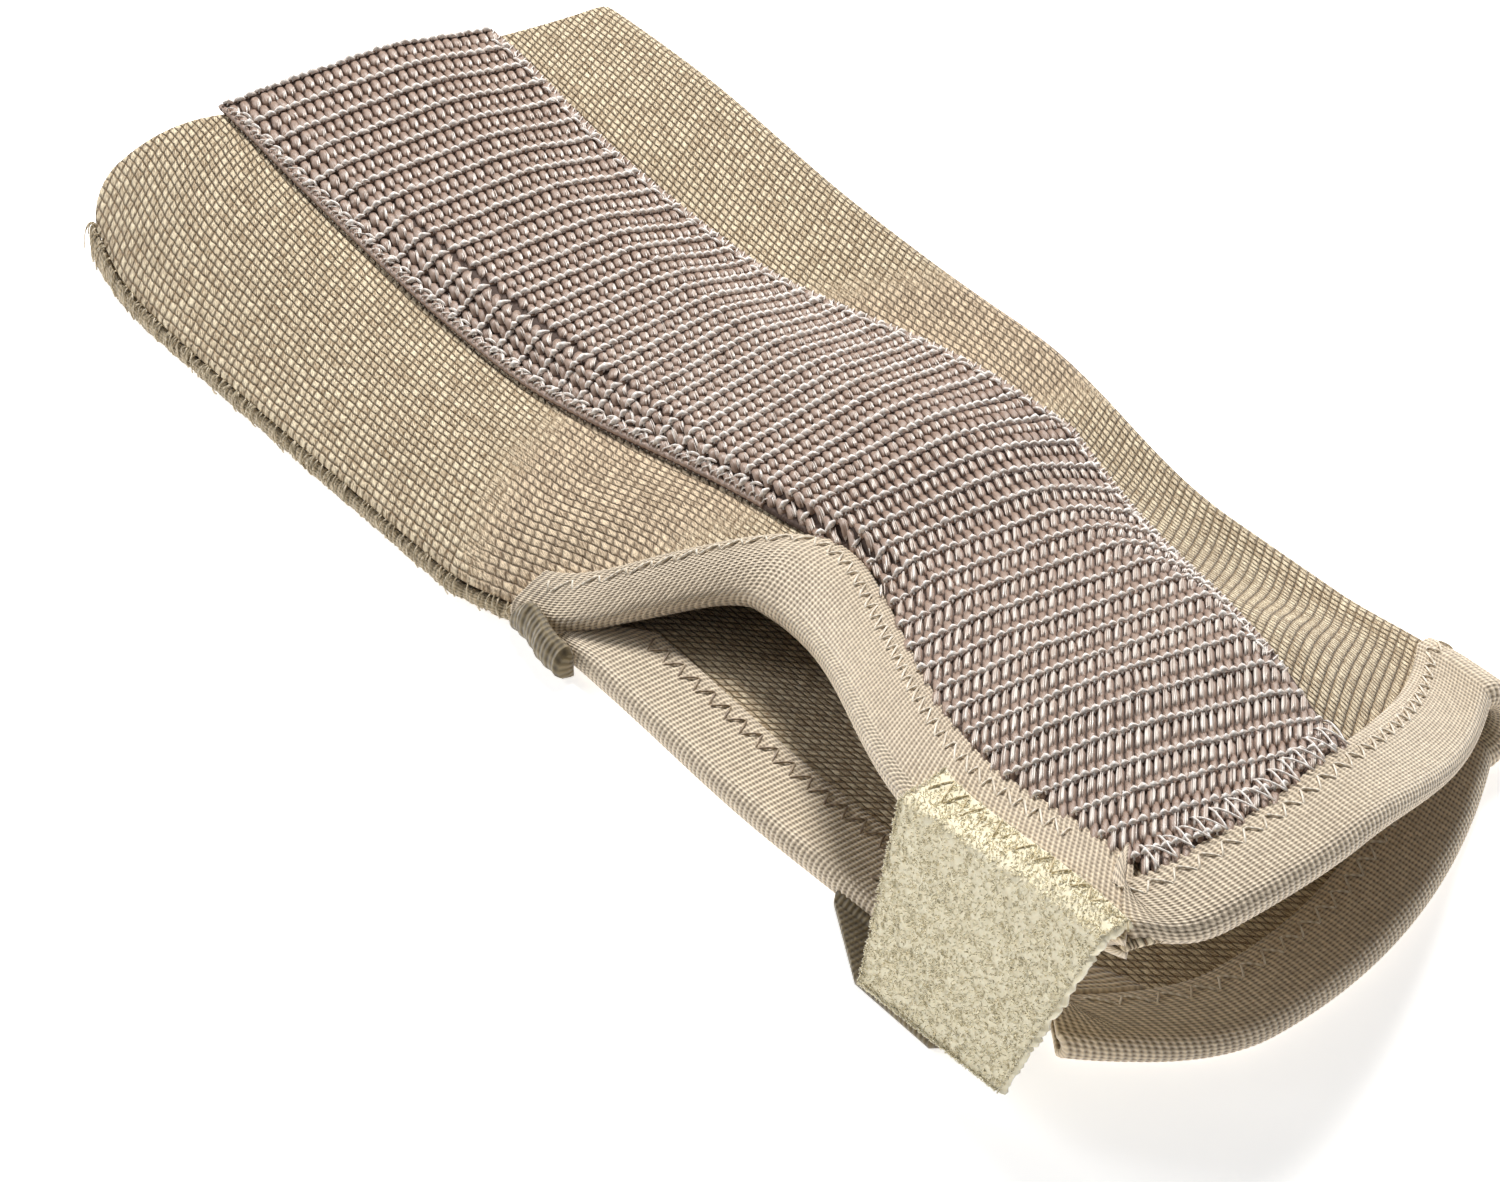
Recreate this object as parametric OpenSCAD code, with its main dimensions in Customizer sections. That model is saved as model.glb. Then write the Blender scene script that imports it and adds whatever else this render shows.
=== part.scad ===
// Elastic wrist splint: a woven sleeve for the forearm and palm with a bendable metal stay
// in a pocket band on the palm side, a bound thumb opening and two web tabs.
// +X runs from the forearm end to the hand end, +Y from the thumb side to the folded side,
// +Z up from the table. The origin is on the underside, org_x and org_y in from the
// forearm end and from the thumb side.

/* [Sleeve] */
// Length of the sleeve from the forearm end to the knuckles
sleeve_len = 205; // [175:1:250]
// Flat width at the forearm end
forearm_w = 88.5; // [76:0.5:110]
// How much narrower the sleeve is at the wrist
wrist_taper = 11.5; // [6:0.5:14]
// How much narrower the palm is than the wrist
palm_taper = 2.5; // [0:0.5:5]
// Thickness of the woven sleeve fabric
fabric_t = 1.1; // [0.9:0.1:1.3]
// Height of the palm layer's top face over the table at its lowest point
wrist_h = 6.6; // [6:0.1:9]
// Height that the palm layer's thumb edge stands above the seam at the hand end
palm_rise = 19.2; // [12:0.2:24]
// Outer radius of the folded side at the forearm end
fold_r = 3.9; // [3:0.1:5]

/* [Thumb opening] */
// Length of the closed side seam, which ends at the thumb opening
seam_len = 106; // [90:1:125]
// Length of the web between thumb opening and hand end
web_len = 29; // [26:1:36]
// Depth of the thumb opening in the palm layer
thumb_depth = 16; // [8:0.5:20]

/* [Bindings] */
// Visible width of the fold-over elastic bindings
binding_w = 8; // [6:0.5:10]
// Thickness of the binding elastic
binding_t = 1.0; // [0.8:0.1:1.2]
// Extra width of the thumb binding where it stretches round the opening
binding_bulge = 2.5; // [0:0.5:3]

/* [Stay and pocket] */
// Width of the metal stay
stay_w = 16; // [12:0.5:19]
// Thickness of the metal stay
stay_t = 1.4; // [1:0.1:2]
// Radius that the stay is bent to
stay_bend_r = 500; // [420:5:700]
// Distance of the stay's lowest point from the forearm end
stay_low_x = 57; // [45:1:70]
// Gap between the stay and the forearm end
stay_start = 4; // [2:0.5:10]
// Gap between the stay and the hand end
stay_hand_gap = 35; // [30:1:50]
// Length of each dipped stay tip
tip_len = 10; // [8.5:0.5:16]
// Thickness of the dipped coating
tip_t = 0.15; // [0.1:0.05:0.15]
// Width of the pocket band at the wrist
pocket_w = 39; // [34:0.5:42]
// Thickness of the pocket band fabric
band_t = 1.0; // [0.8:0.1:1.3]

/* [Tabs] */
// Width of the loop tab at its sewn edge
tab_w = 31; // [24:0.5:31]
// Width of the loop tab at its free end
tab_end_w = 21.5; // [14:0.5:24]
// Length of the loop tab's left side below the fold
tab_len = 20.4; // [16:0.2:20.6]
// Thickness of the loop tab
tab_t = 1.6; // [1.2:0.1:1.8]
// Angle at which the loop tab hangs below the horizontal
tab_hang = 68; // [66:1:74]
// Reach of the hook tab beyond its fold line
hook_len = 5.4; // [4:0.2:5.6]
// Thickness of the hook tab
hook_t = 1.2; // [0.8:0.1:1.3]

/* [Thread] */
// Thickness of the sewing thread
thread_d = 0.4; // [0.3:0.05:0.5]
// Distance between stitches
stitch_pitch = 4; // [3:0.25:6]

/* [Hidden] */

// origin, clearances and other fixed sizes
org_x = 100;
org_y = 40;
sew_gap = 0.1;          // between sewn layers
stay_gap = 0.25;        // above and below the stay
stay_side_gap = 0.5;    // beside the stay
seam_y = -4;            // thumb-side edge along the seam
corner_y = 3.5;         // how far the seam's forearm corner is drawn in
seam_h = 3;             // height of the palm layer's edge along the seam
curl_h = 2.5;           // how far that edge lifts at the forearm end
hand_slant = 0.007;     // curvature of the oblique hand edge
back_slant = 0.0079;    // the same of the back layer
back_round = 0.03;      // rounding of the back layer's thumb corner
back_short = 2.5;       // how much shorter the back layer is
pocket_margin = 6.7;    // from the pocket band's straight edge to the stay lane
pocket_cant = 4.3;      // how far that edge slants towards the lane at the wrist
pocket_slant = 0.393;   // slope of the band's other edge across the palm
tuck = 0.2;             // gap where one edge butts another

// smooth step from 0 at a to 1 at b, and a bell about c
function ss(a, b, x) = let (t = max(0, min(1, (x - a) / (b - a)))) t * t * (3 - 2 * t);
function bell(c, w, x) = exp(-pow((x - c) / w, 2));

// derived stations along the sleeve
thumb_len = sleeve_len - seam_len - web_len;
thumb_peak = seam_len + 0.27 * thumb_len;
stay_end = sleeve_len - stay_hand_gap;
stay_len = stay_end - stay_start;
lane_y0 = thumb_depth + binding_w + binding_bulge + 1.7;
lane_y1 = lane_y0 + stay_w + 2 * stay_side_gap;
stay_y = (lane_y0 + lane_y1) / 2;
lift_h = binding_t + 2 * sew_gap - 0.05;
stay_room = stay_t + 2 * stay_gap;

// outline: folded side, thumb side of the palm layer and of the back layer
function y_fold(x) = seam_y + forearm_w - fold_r
    - 0.4 * wrist_taper * ss(0, seam_len - 16, x)
    - 0.6 * wrist_taper * ss(seam_len - 11, seam_len + 34, x)
    - palm_taper * ss(sleeve_len - 55, sleeve_len - 5, x);
function y_side(x) = seam_y + corner_y * bell(0, 12, x)
    - seam_y * ss(seam_len - 16, seam_len + 2, x);
function y_palm(x) = y_side(x) + thumb_depth * ss(seam_len, thumb_peak - 1, x)
    * (1 - ss(thumb_peak + 1, seam_len + thumb_len, x));
function y_back(x) = y_side(x) - bell(seam_len + 39, 20, x)
    + 6 * ss(sleeve_len - 30, sleeve_len - 5, x);

// hand end of each layer
function x_palm(y) = sleeve_len - hand_slant * pow(max(y - 12, 0), 2) - 3 * bell(-1, 5, y);
function x_back(y) = sleeve_len - back_short - back_slant * pow(max(y - 20, 0), 2)
    - back_round * pow(max(20 - y, 0), 2);

// heights: radius of the fold, edge of the palm layer, lane under the stay, top face
function r_fold(x) = fold_r - 0.6 * ss(20, 60, x)
    + 1.2 * ss(sleeve_len - 55, sleeve_len - 5, x);
function z_edge(x) = seam_h + curl_h * bell(0, 15, x)
    + palm_rise * (0.34 * ss(seam_len - 2, seam_len + 0.26 * thumb_len, x)
                   + 0.50 * ss(seam_len + 0.17 * thumb_len, seam_len + 0.94 * thumb_len, x)
                   + 0.16 * ss(seam_len + 0.94 * thumb_len, sleeve_len - 5, x));
function z_lane(x) = let (run = min(x, stay_end + 2) - stay_low_x,
                          over = max(x - stay_end - 2, 0),
                          slope = (stay_end + 2 - stay_low_x) / stay_bend_r)
    wrist_h + stay_bend_r - sqrt(pow(stay_bend_r, 2) - run * run)
    + slope * 15 * (1 - exp(-over / 15));
function z_back(x, y) = lift_h * (1
    - (1 - ss(seam_len - 10, seam_len + 8, x) * (1 - ss(9, 22, y - y_back(x))))
    * (1 - (1 - ss(10, 26, x_back(y) - x))));
function z_top_fold(x) = z_back(x, y_fold(x)) + 2 * r_fold(x);
function lane_side(x) = lane_y1 - 18 * ss(sleeve_len - 40, sleeve_len - 3, x);
function z_palm(x, y) =
    let (zl = z_lane(x),
         p = max(0, min(1, (lane_y0 - y) / (lane_y0 - y_palm(x)))),
         q = max(0, min(1, (y - lane_side(x)) / (y_fold(x) - lane_side(x)))))
    zl + (z_edge(x) - zl) * pow(p, 1.6)
    + (1 + 3.6 * bell(0, 40, x) + 1.5 * bell(seam_len - 2, 25, x)) * 4 * pow(p, 1.3) * (1 - p)
    - 1.4 * bell(stay_low_x + 3, 35, x) * 12 * p * pow(1 - p, 4)
    + (z_top_fold(x) - zl) * q * q * (3 - 2 * q)
    + (bell(seam_len + 19, 30, x) - 1.4 * bell(stay_low_x + 5, 32, x)) * 16 * pow(q * (1 - q), 2);

// points off the faces: d is the distance out from the sleeve's outer face
function unit(v) = v / norm(v);
function palm_n(x, y) = let (e = 0.5, v = max(y, y_palm(x) + e))
    unit([z_palm(x - e, v) - z_palm(x + e, v), z_palm(x, v - e) - z_palm(x, v + e), 2 * e]);
function back_n(x, y) = let (e = 0.5)
    unit([z_back(x + e, y) - z_back(x - e, y), z_back(x, y + e) - z_back(x, y - e), -2 * e]);
function palm_at(x, y, d) = [x, y, z_palm(x, y)] + d * palm_n(x, y);
function back_at(x, y, d) = [x, y, z_back(x, y)] + d * back_n(x, y);
function fold_at(x, turn, d) = let (r = r_fold(x) + d)
    [x, y_fold(x) + r * cos(turn), z_back(x, y_fold(x)) + r_fold(x) + r * sin(turn)];

// a place round the sleeve: 0 to 1 across the back layer, 1 to 2 round the fold,
// 2 to 3 across the palm layer; hand_x is the sleeve's end there
function across(q, x) = q <= 1 ? y_back(x) + (y_fold(x) - y_back(x)) * q
                               : y_palm(x) + (y_fold(x) - y_palm(x)) * (3 - q);
function settle(q, x, n) = n == 0 ? x
    : settle(q, q <= 1 ? x_back(across(q, x)) : x_palm(across(q, x)), n - 1);
function hand_x(q) = q > 1 && q < 2
    ? let (t = ss(1, 2, q)) hand_x(1) * (1 - t) + hand_x(2) * t
    : settle(q, sleeve_len - 5, 6);
function skin_at(q, x, d) = q <= 1 ? back_at(x, across(q, x), d)
    : q < 2 ? fold_at(x, 180 * (q - 1) - 90, d) : palm_at(x, across(q, x), d);
ROUND = concat([for (i = [0:10]) i / 10], [for (i = [1:7]) 1 + i / 8],
               [for (i = [0:22]) 2 + i / 22]);

// closed solid between two sheets of points with the same rows and columns
module sheet(top, under) {
    rows = len(top);
    cols = len(top[0]);
    all = rows * cols;
    function at(i, j) = i * cols + j;
    rim = concat([for (j = [0:cols - 1]) at(0, j)],
                 [for (i = [1:rows - 1]) at(i, cols - 1)],
                 [for (j = [cols - 2:-1:0]) at(rows - 1, j)],
                 [for (i = [rows - 2:-1:1]) at(i, 0)]);
    faces = concat(
        [for (i = [0:rows - 2], j = [0:cols - 2], f = [
            [at(i, j), at(i, j + 1), at(i + 1, j + 1)],
            [at(i, j), at(i + 1, j + 1), at(i + 1, j)],
            [all + at(i, j), all + at(i + 1, j + 1), all + at(i, j + 1)],
            [all + at(i, j), all + at(i + 1, j), all + at(i + 1, j + 1)]]) f],
        [for (k = [0:len(rim) - 1]) let (a = rim[k], b = rim[(k + 1) % len(rim)])
            for (f = [[a, all + b, b], [a, all + a, all + b]]) f]);
    polyhedron([for (row = top) each row, for (row = under) each row], faces);
}

// one stitch: a straight length of thread between two points
module thread(a, b) {
    v = b - a;
    translate(a)
        rotate([0, acos(v[2] / norm(v)), atan2(v[1], v[0])])
            cylinder(h = norm(v), d = thread_d, $fn = 6);
}

// profile of a fold-over binding: places [s, d] on its outer face (t = binding_t) or its
// inner face (t = 0), from one flap's edge round the fabric's edge to the other's
function wrap(w, t, inner_t) =
    let (r = fabric_t / 2 + sew_gap + t, r2 = fabric_t / 2 + sew_gap + min(t, inner_t))
    concat([for (k = [0:3]) [w * (1 - k / 3), sew_gap + t]],
           [for (turn = [120:30:240]) let (m = turn < 180 ? r : r2)
               [r * cos(turn), -fabric_t / 2 + m * sin(turn)]],
           [for (k = [0:3]) [w * k / 3, -fabric_t - sew_gap - min(t, inner_t)]]);

// place off the edge of a layer, where s is the distance in from the edge and n the normal
function off_edge(edge, inward, n, s, d) = edge + inward * s + n * d;

// the sleeve is a tube folded flat: back layer, folded side, palm layer
module sleeve_panel() {
    rows = [for (i = [0:38]) i / 38];
    color([0.78, 0.69, 0.55])
        sheet([for (v = rows) [for (q = ROUND) skin_at(q, v * hand_x(q), 0)]],
              [for (v = rows) [for (q = ROUND) skin_at(q, v * hand_x(q), -fabric_t)]]);
}

// overlocked seam allowance along the thumb side
module side_seam_overlock() {
    function edge(x, k) = let (h = z_edge(x), y = y_side(x))
        [[y - sew_gap, h], [y - 1.4, h], [y - 2, h - 0.5], [y - 2, 0.5], [y - 1.4, 0.05],
         [y - sew_gap, 0.05]][k];
    function side(x, k, d) = let (e = edge(x, k)) [x, e[0] + d, e[1]];
    rows = [for (i = [0:26]) 0.3 + (seam_len - 2) * i / 26];
    color([0.55, 0.48, 0.34])
        sheet([for (x = rows) [for (k = [0:5]) side(x, k, 0)]],
              [for (x = rows) [for (k = [0:5]) [x, y_side(x) - sew_gap, edge(x, k)[1]]]]);
}

// end of the back binding's tape, folded under at the seam's end
module seam_end_tape() {
    tape_w = 9;
    tape_t = 0.9;
    color([0.50, 0.43, 0.30])
        translate([seam_len + 0.5, y_back(seam_len) - 3.4, 0.05])
            cube([tape_w, 2.6, tape_t]);
}

// pocket band over the palm layer, raised over the lane where the stay lies
function bind_palm_y(x) = y_palm(x) + binding_w + binding_bulge * bell(thumb_peak, 13, x);
function pocket_y0(x) = let (edge = bind_palm_y(x) + tuck)
    x > thumb_peak ? edge
    : max(edge, lane_y0 - pocket_margin + pocket_cant * ss(seam_len - 41, seam_len + 7, x));
function pocket_y1(x) = lane_y0 - pocket_margin + pocket_w + 3.3 * bell(0, 22, x)
    + 5.3 * ss(seam_len - 44, seam_len - 2, x)
    - pocket_slant * max(0, min(70, x - seam_len - 12));
function pocket_rise(x, y) =
    let (in0 = min(pocket_y0(x) + 2.5, lane_y0 - 1.4),
         right = min(lane_y1, pocket_y1(x) - 2.2),
         in1 = min(right + 5, pocket_y1(x) - tuck))
    sew_gap + (stay_room - sew_gap) * ss(in0, lane_y0 - 0.2, y) * (1 - ss(right, in1, y));
function hand_bind_w(y) = binding_w * norm([1, 2 * hand_slant * max(y - 12, 0)]);
function back_bind_w(y) = binding_w
    * norm([1, 2 * back_slant * max(y - 20, 0) - 2 * back_round * max(20 - y, 0)]);
function pocket_x1(y) = x_palm(y) - hand_bind_w(y) - tuck;
function pocket_settle(t, x, n) = n == 0 ? x
    : pocket_settle(t, pocket_x1(pocket_y0(x) + (pocket_y1(x) - pocket_y0(x)) * t), n - 1);
function pocket_at(v, t, d) =
    let (x = -1 + v * (pocket_settle(t, sleeve_len - 12, 6) + 1),
         y = pocket_y0(x) + (pocket_y1(x) - pocket_y0(x)) * t)
    palm_at(x, y, pocket_rise(x, y) + d);
module stay_pocket_band() {
    rows = [for (i = [0:34]) i / 34];
    cols = [for (j = [26:-1:0]) j / 26];
    color([0.62, 0.54, 0.50])
        sheet([for (v = rows) [for (t = cols) pocket_at(v, t, band_t)]],
              [for (v = rows) [for (t = cols) pocket_at(v, t, 0)]]);
}

// straight stitches along both edges of the pocket band
module pocket_side_stitches() {
    inset = 0.04;
    n = floor((sleeve_len - 10) / stitch_pitch);
    lay = band_t + thread_d / 2 + 0.25;
    color([0.93, 0.90, 0.84])
        for (t = [inset, 1 - inset], i = [0:n - 2])
            thread(pocket_at((i + 0.6) / n, t, lay), pocket_at((i + 1.3) / n, t, lay));
}

// zigzag over the pocket band's hand end
module pocket_end_stitches() {
    n = 16;
    depth = 0.016;
    lay = band_t + thread_d / 2 + 0.1;
    color([0.93, 0.90, 0.84])
        for (i = [0:n - 1]) {
            t = 0.08 + 0.84 * i / n;
            thread(pocket_at(1 - depth, t, lay), pocket_at(1 - 2.6 * depth, t + 0.4 / n, lay));
        }
}

// palm layer's thumb binding: u runs along it from the seam to the hand binding
function palm_bind_x(u, s) = seam_len + 0.4
    + u * (pocket_x1(y_palm(sleeve_len - 10) + max(s, 0)) - seam_len - 0.4);
function palm_edge_at(u, place) =
    let (s = place[0], d = place[1], x = palm_bind_x(u, s), y = y_palm(x), n = palm_n(x, y))
    s > 0 ? palm_at(x, y + s, d)
          : off_edge([x, y, z_palm(x, y)], unit([0, n[2], -n[1]]), n, s, d);
function palm_bind_row(u, t) =
    let (x = palm_bind_x(u, 0), w = bind_palm_y(x) - y_palm(x),
         inner_t = binding_t * ss(seam_len, seam_len + 12, x) + 0.05)
    [for (place = wrap(w, t, inner_t)) palm_edge_at(u, place)];
module thumb_binding_palm() {
    rows = [for (i = [0:34]) i / 34];
    color([0.75, 0.65, 0.52])
        sheet([for (u = rows) palm_bind_row(u, binding_t)],
              [for (u = rows) palm_bind_row(u, 0)]);
}

// zigzag stitches: places(i) gives the i-th turning point
module thumb_binding_palm_stitches() {
    n = floor((sleeve_len - seam_len - 10) / stitch_pitch * 2);
    lay = sew_gap + binding_t + thread_d / 2 + 0.1;
    function turn(i) = let (u = 0.02 + 0.94 * i / n, x = palm_bind_x(u, 0))
        palm_edge_at(u, [bind_palm_y(x) - y_palm(x) - (i % 2 == 0 ? 1 : 3), lay]);
    color([0.85, 0.78, 0.62])
        for (i = [0:n - 2])
            thread(turn(i), turn(i) + 0.8 * (turn(i + 1) - turn(i)));
}

// back layer's thumb binding
function back_bind_x(u, s) = let (q = max(s, 0) / (y_fold(stay_end) - y_back(stay_end)))
    seam_len + 10 + u * (hand_x(q) - hand_flap_w(q) - tuck - seam_len - 10);
function back_edge_at(u, place) =
    let (s = place[0], d = place[1], x = back_bind_x(u, s), y = y_back(x))
    s > 0 ? back_at(x, y + s, d) : off_edge([x, y, z_back(x, y)], [0, 1, 0], [0, 0, -1], s, d);
module thumb_binding_back() {
    rows = [for (i = [0:24]) i / 24];
    color([0.66, 0.57, 0.44])
        sheet([for (u = rows) [for (place = wrap(binding_w, 0, 0)) back_edge_at(u, place)]],
              [for (u = rows) [for (place = wrap(binding_w, binding_t, binding_t))
                  back_edge_at(u, place)]]);
}
module thumb_binding_back_stitches() {
    n = floor((sleeve_len - seam_len - 20) / stitch_pitch * 2);
    lay = -fabric_t - sew_gap - binding_t - thread_d / 2 - 0.1;
    function turn(i) = back_edge_at(0.03 + 0.9 * i / n, [binding_w - (i % 2 == 0 ? 1 : 3), lay]);
    color([0.45, 0.38, 0.28])
        for (i = [0:n - 2])
            thread(turn(i), turn(i) + 0.8 * (turn(i + 1) - turn(i)));
}

// binding round the hand end of both layers
function hand_flap_w(q) = let (x = hand_x(q), y = across(q, x))
    q <= 1 ? back_bind_w(y) : q < 2
        ? let (t = q - 1) back_bind_w(y_fold(x)) * (1 - t) + hand_bind_w(y_fold(x)) * t
        : hand_bind_w(y);
function hand_edge_at(q, place) =
    let (s = place[0], d = place[1])
    skin_at(q, hand_x(q) - max(s, 0), d) + [max(0, -s), 0, 0];
RING = concat([for (i = [0:12]) i / 12], [for (i = [1:7]) 1 + i / 8], [for (i = [0:14]) 2 + i / 14]);
module hand_end_binding() {
    color([0.75, 0.65, 0.52])
        sheet([for (q = RING) [for (place = wrap(hand_flap_w(q), 0, 0)) hand_edge_at(q, place)]],
              [for (q = RING) [for (place = wrap(hand_flap_w(q), binding_t, binding_t))
                  hand_edge_at(q, place)]]);
}
module hand_end_binding_stitches() {
    lay = sew_gap + binding_t + thread_d / 2 + 0.1;
    function turn(q, i, d) = hand_edge_at(q, [hand_flap_w(q) - (i % 2 == 0 ? 1 : 3), d]);
    n = floor((forearm_w - wrist_taper) / stitch_pitch * 2);
    color([0.62, 0.54, 0.42])
        for (i = [3:n - 3]) {
            palm = [turn(3 - 0.94 * i / n, i, lay), turn(3 - 0.94 * (i + 1) / n, i + 1, lay)];
            back = [turn(0.94 * i / n, i, -fabric_t - lay), turn(0.94 * (i + 1) / n, i + 1, -fabric_t - lay)];
            for (s = [palm, back])
                thread(s[0], s[0] + 0.8 * (s[1] - s[0]));
        }
}

// loop tab: sewn strip on the web, then the tab that folds at the web's edge
tab_x1 = sleeve_len - 3;
tab_x0 = tab_x1 - tab_w;
rod_r = tab_t / 2;
bind_top = sew_gap + binding_t + 0.15;
bind_out = fabric_t / 2 + sew_gap + binding_t;
fold_y = -bind_out - 0.3 - rod_r;
sewn_w = 3.4;
function tab_z(x) = z_palm(x, y_palm(x)) + 1.3;
tab_fold_a = [tab_x0, y_palm(tab_x0) + fold_y, tab_z(tab_x0)];
tab_fold_b = [tab_x1, y_palm(tab_x0) + fold_y, tab_z(tab_x1)];
tab_tilt = atan2(tab_fold_b[2] - tab_fold_a[2], tab_w);
function sewn_at(u, s, d) = let (x = tab_x0 + 0.3 + (tab_w - 0.6) * u)
    palm_at(x, y_palm(x) + s, bind_top + d);
module loop_tab_sewn_end() {
    sewn_t = 1.2;
    rows = [for (i = [0:10]) i / 10];
    places = [for (j = [0:4]) sewn_w - (sewn_w + 0.6) * j / 4];
    color([0.90, 0.87, 0.74])
        sheet([for (u = rows) [for (s = places) sewn_at(u, s, sewn_t)]],
              [for (u = rows) [for (s = places) sewn_at(u, s, 0)]]);
}
module loop_tab() {
    inset = (tab_w - tab_end_w) / 2;
    color([0.90, 0.87, 0.74])
        translate(tab_fold_a)
            rotate([0, -tab_tilt, 0])
                rotate([tab_hang, 0, 0]) {
                    translate([0.3, 0, 0])
                        rotate([0, 90, 0])
                            cylinder(h = tab_w - 0.6, r = rod_r, $fn = 48);
                    translate([0, 0, -tab_t / 2])
                        linear_extrude(height = tab_t)
                            polygon([[0.3, 0], [tab_w - 0.3, 0], [tab_w - inset * 1.6, -tab_len - 0.4],
                                     [inset * 0.4, -tab_len]]);
                }
}
module loop_tab_stitches() {
    n = 10;
    lay = 1.2 + thread_d / 2 + 0.1;
    color([0.84, 0.72, 0.45])
        for (i = [0:n - 1])
            thread(sewn_at(0.04 + 0.92 * i / n, 0.6, lay),
                   sewn_at(0.04 + 0.92 * (i + 0.5) / n, sewn_w - 0.6, lay));
}

// hook tab: lies out from the back layer's thumb edge, flat on the table
hook_x0 = tab_x0 - 10;
hook_x1 = tab_x0 + 17;
hook_r = hook_t / 2;
hook_fold = [hook_x0, y_back(hook_x0) - bind_out - 0.3 - hook_r, hook_r + 0.1];
module hook_tab() {
    w = hook_x1 - hook_x0;
    color([0.55, 0.47, 0.33])
        translate(hook_fold) {
            rotate([0, 90, 0])
                cylinder(h = w, r = hook_r, $fn = 48);
            translate([0, 0, -hook_r])
                linear_extrude(height = hook_t)
                    polygon([[0, 0], [w, 0], [w - 4, -hook_len], [11, -hook_len]]);
        }
}
module hook_tab_stitches() {
    n = 8;
    lay = -fabric_t - sew_gap - binding_t - thread_d / 2 - 0.1;
    color([0.45, 0.38, 0.28])
        for (i = [0:n - 1]) {
            x = hook_x0 + 2 + 3 * i;
            thread(back_at(x, y_back(x) + 1, lay), back_at(x + 1.8, y_back(x) + 2.4, lay));
        }
}

// the stay: a flat metal strip bent to stay_bend_r about a distant axis across the sleeve,
// with round ends that are dipped in soft vinyl
stay_top_r = stay_bend_r - stay_gap - stay_t;
function stay_angle(x) = asin((x - stay_low_x) / stay_bend_r);
module bent_strip(half_w, r0, r1, x0, x1) {
    translate([stay_low_x, stay_y, wrist_h + stay_bend_r])
        rotate([90, 0, 0])
            rotate([0, 0, -90 + stay_angle(x0)])
                rotate_extrude(angle = stay_angle(x1) - stay_angle(x0), $fn = 720)
                    translate([r0, -half_w])
                        square([r1 - r0, 2 * half_w]);
}
// everything between two x stations whose outline is a strip of half_w with round ends
module stay_outline(half_w, x0, x1, h) {
    for (x = [x0 + half_w, x1 - half_w])
        translate([x, stay_y, 0])
            cylinder(h = h, r = half_w, $fn = 64);
    translate([x0 + half_w, stay_y - half_w, 0])
        cube([x1 - x0 - 2 * half_w, 2 * half_w, h]);
}
module stay_between(half_w, r0, r1, x0, x1) {
    intersection() {
        bent_strip(half_w, r0, r1, x0 - 0.5, x1 + 0.5);
        children();
    }
}
stay_core_r0 = stay_top_r + tip_t;
stay_core_r1 = stay_top_r + stay_t - tip_t;
stay_core_w = stay_w / 2 - tip_t;
module stay() {
    color([0.80, 0.81, 0.83])
        stay_between(stay_core_w, stay_core_r0, stay_core_r1, stay_start, stay_end)
            stay_outline(stay_core_w, stay_start + tip_t, stay_end - tip_t, 60);
}
module stay_tip(x0, x1) {
    color([0.90, 0.88, 0.82])
        difference() {
            stay_between(stay_w / 2, stay_top_r, stay_top_r + stay_t, x0, x1)
                intersection() {
                    stay_outline(stay_w / 2, stay_start, stay_end, 60);
                    translate([x0, stay_y - stay_w, 0])
                        cube([x1 - x0, 2 * stay_w, 60]);
                }
            stay_between(stay_core_w + 0.02, stay_core_r0 - 0.02, stay_core_r1 + 0.02,
                         stay_start, stay_end)
                stay_outline(stay_core_w + 0.02, stay_start + tip_t - 0.02,
                             stay_end - tip_t + 0.02, 60);
        }
}
module stay_tip_forearm() { stay_tip(stay_start, stay_start + tip_len); }
module stay_tip_hand() { stay_tip(stay_end - tip_len, stay_end); }

// moves a piece from the sleeve's own corner to the origin
module placed() {
    translate([-org_x, -org_y, 0]) children();
}

placed() sleeve_panel();
placed() side_seam_overlock();
placed() seam_end_tape();
placed() stay_pocket_band();
placed() pocket_side_stitches();
placed() pocket_end_stitches();
placed() thumb_binding_palm();
placed() thumb_binding_palm_stitches();
placed() thumb_binding_back();
placed() thumb_binding_back_stitches();
placed() hand_end_binding();
placed() hand_end_binding_stitches();
placed() loop_tab_sewn_end();
placed() loop_tab();
placed() loop_tab_stitches();
placed() hook_tab();
placed() hook_tab_stitches();
placed() stay();
placed() stay_tip_forearm();
placed() stay_tip_hand();
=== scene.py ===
"""Wrist splint: an elastic sleeve with a pocketed stay, bound edges, a loop tab and a hook tab.

Millimetres are used for the cloth's own shape and turned into the frame's metres as each mesh
is made. The long side of the sleeve runs along X from the forearm end to the hand end.
"""
import math

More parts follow.
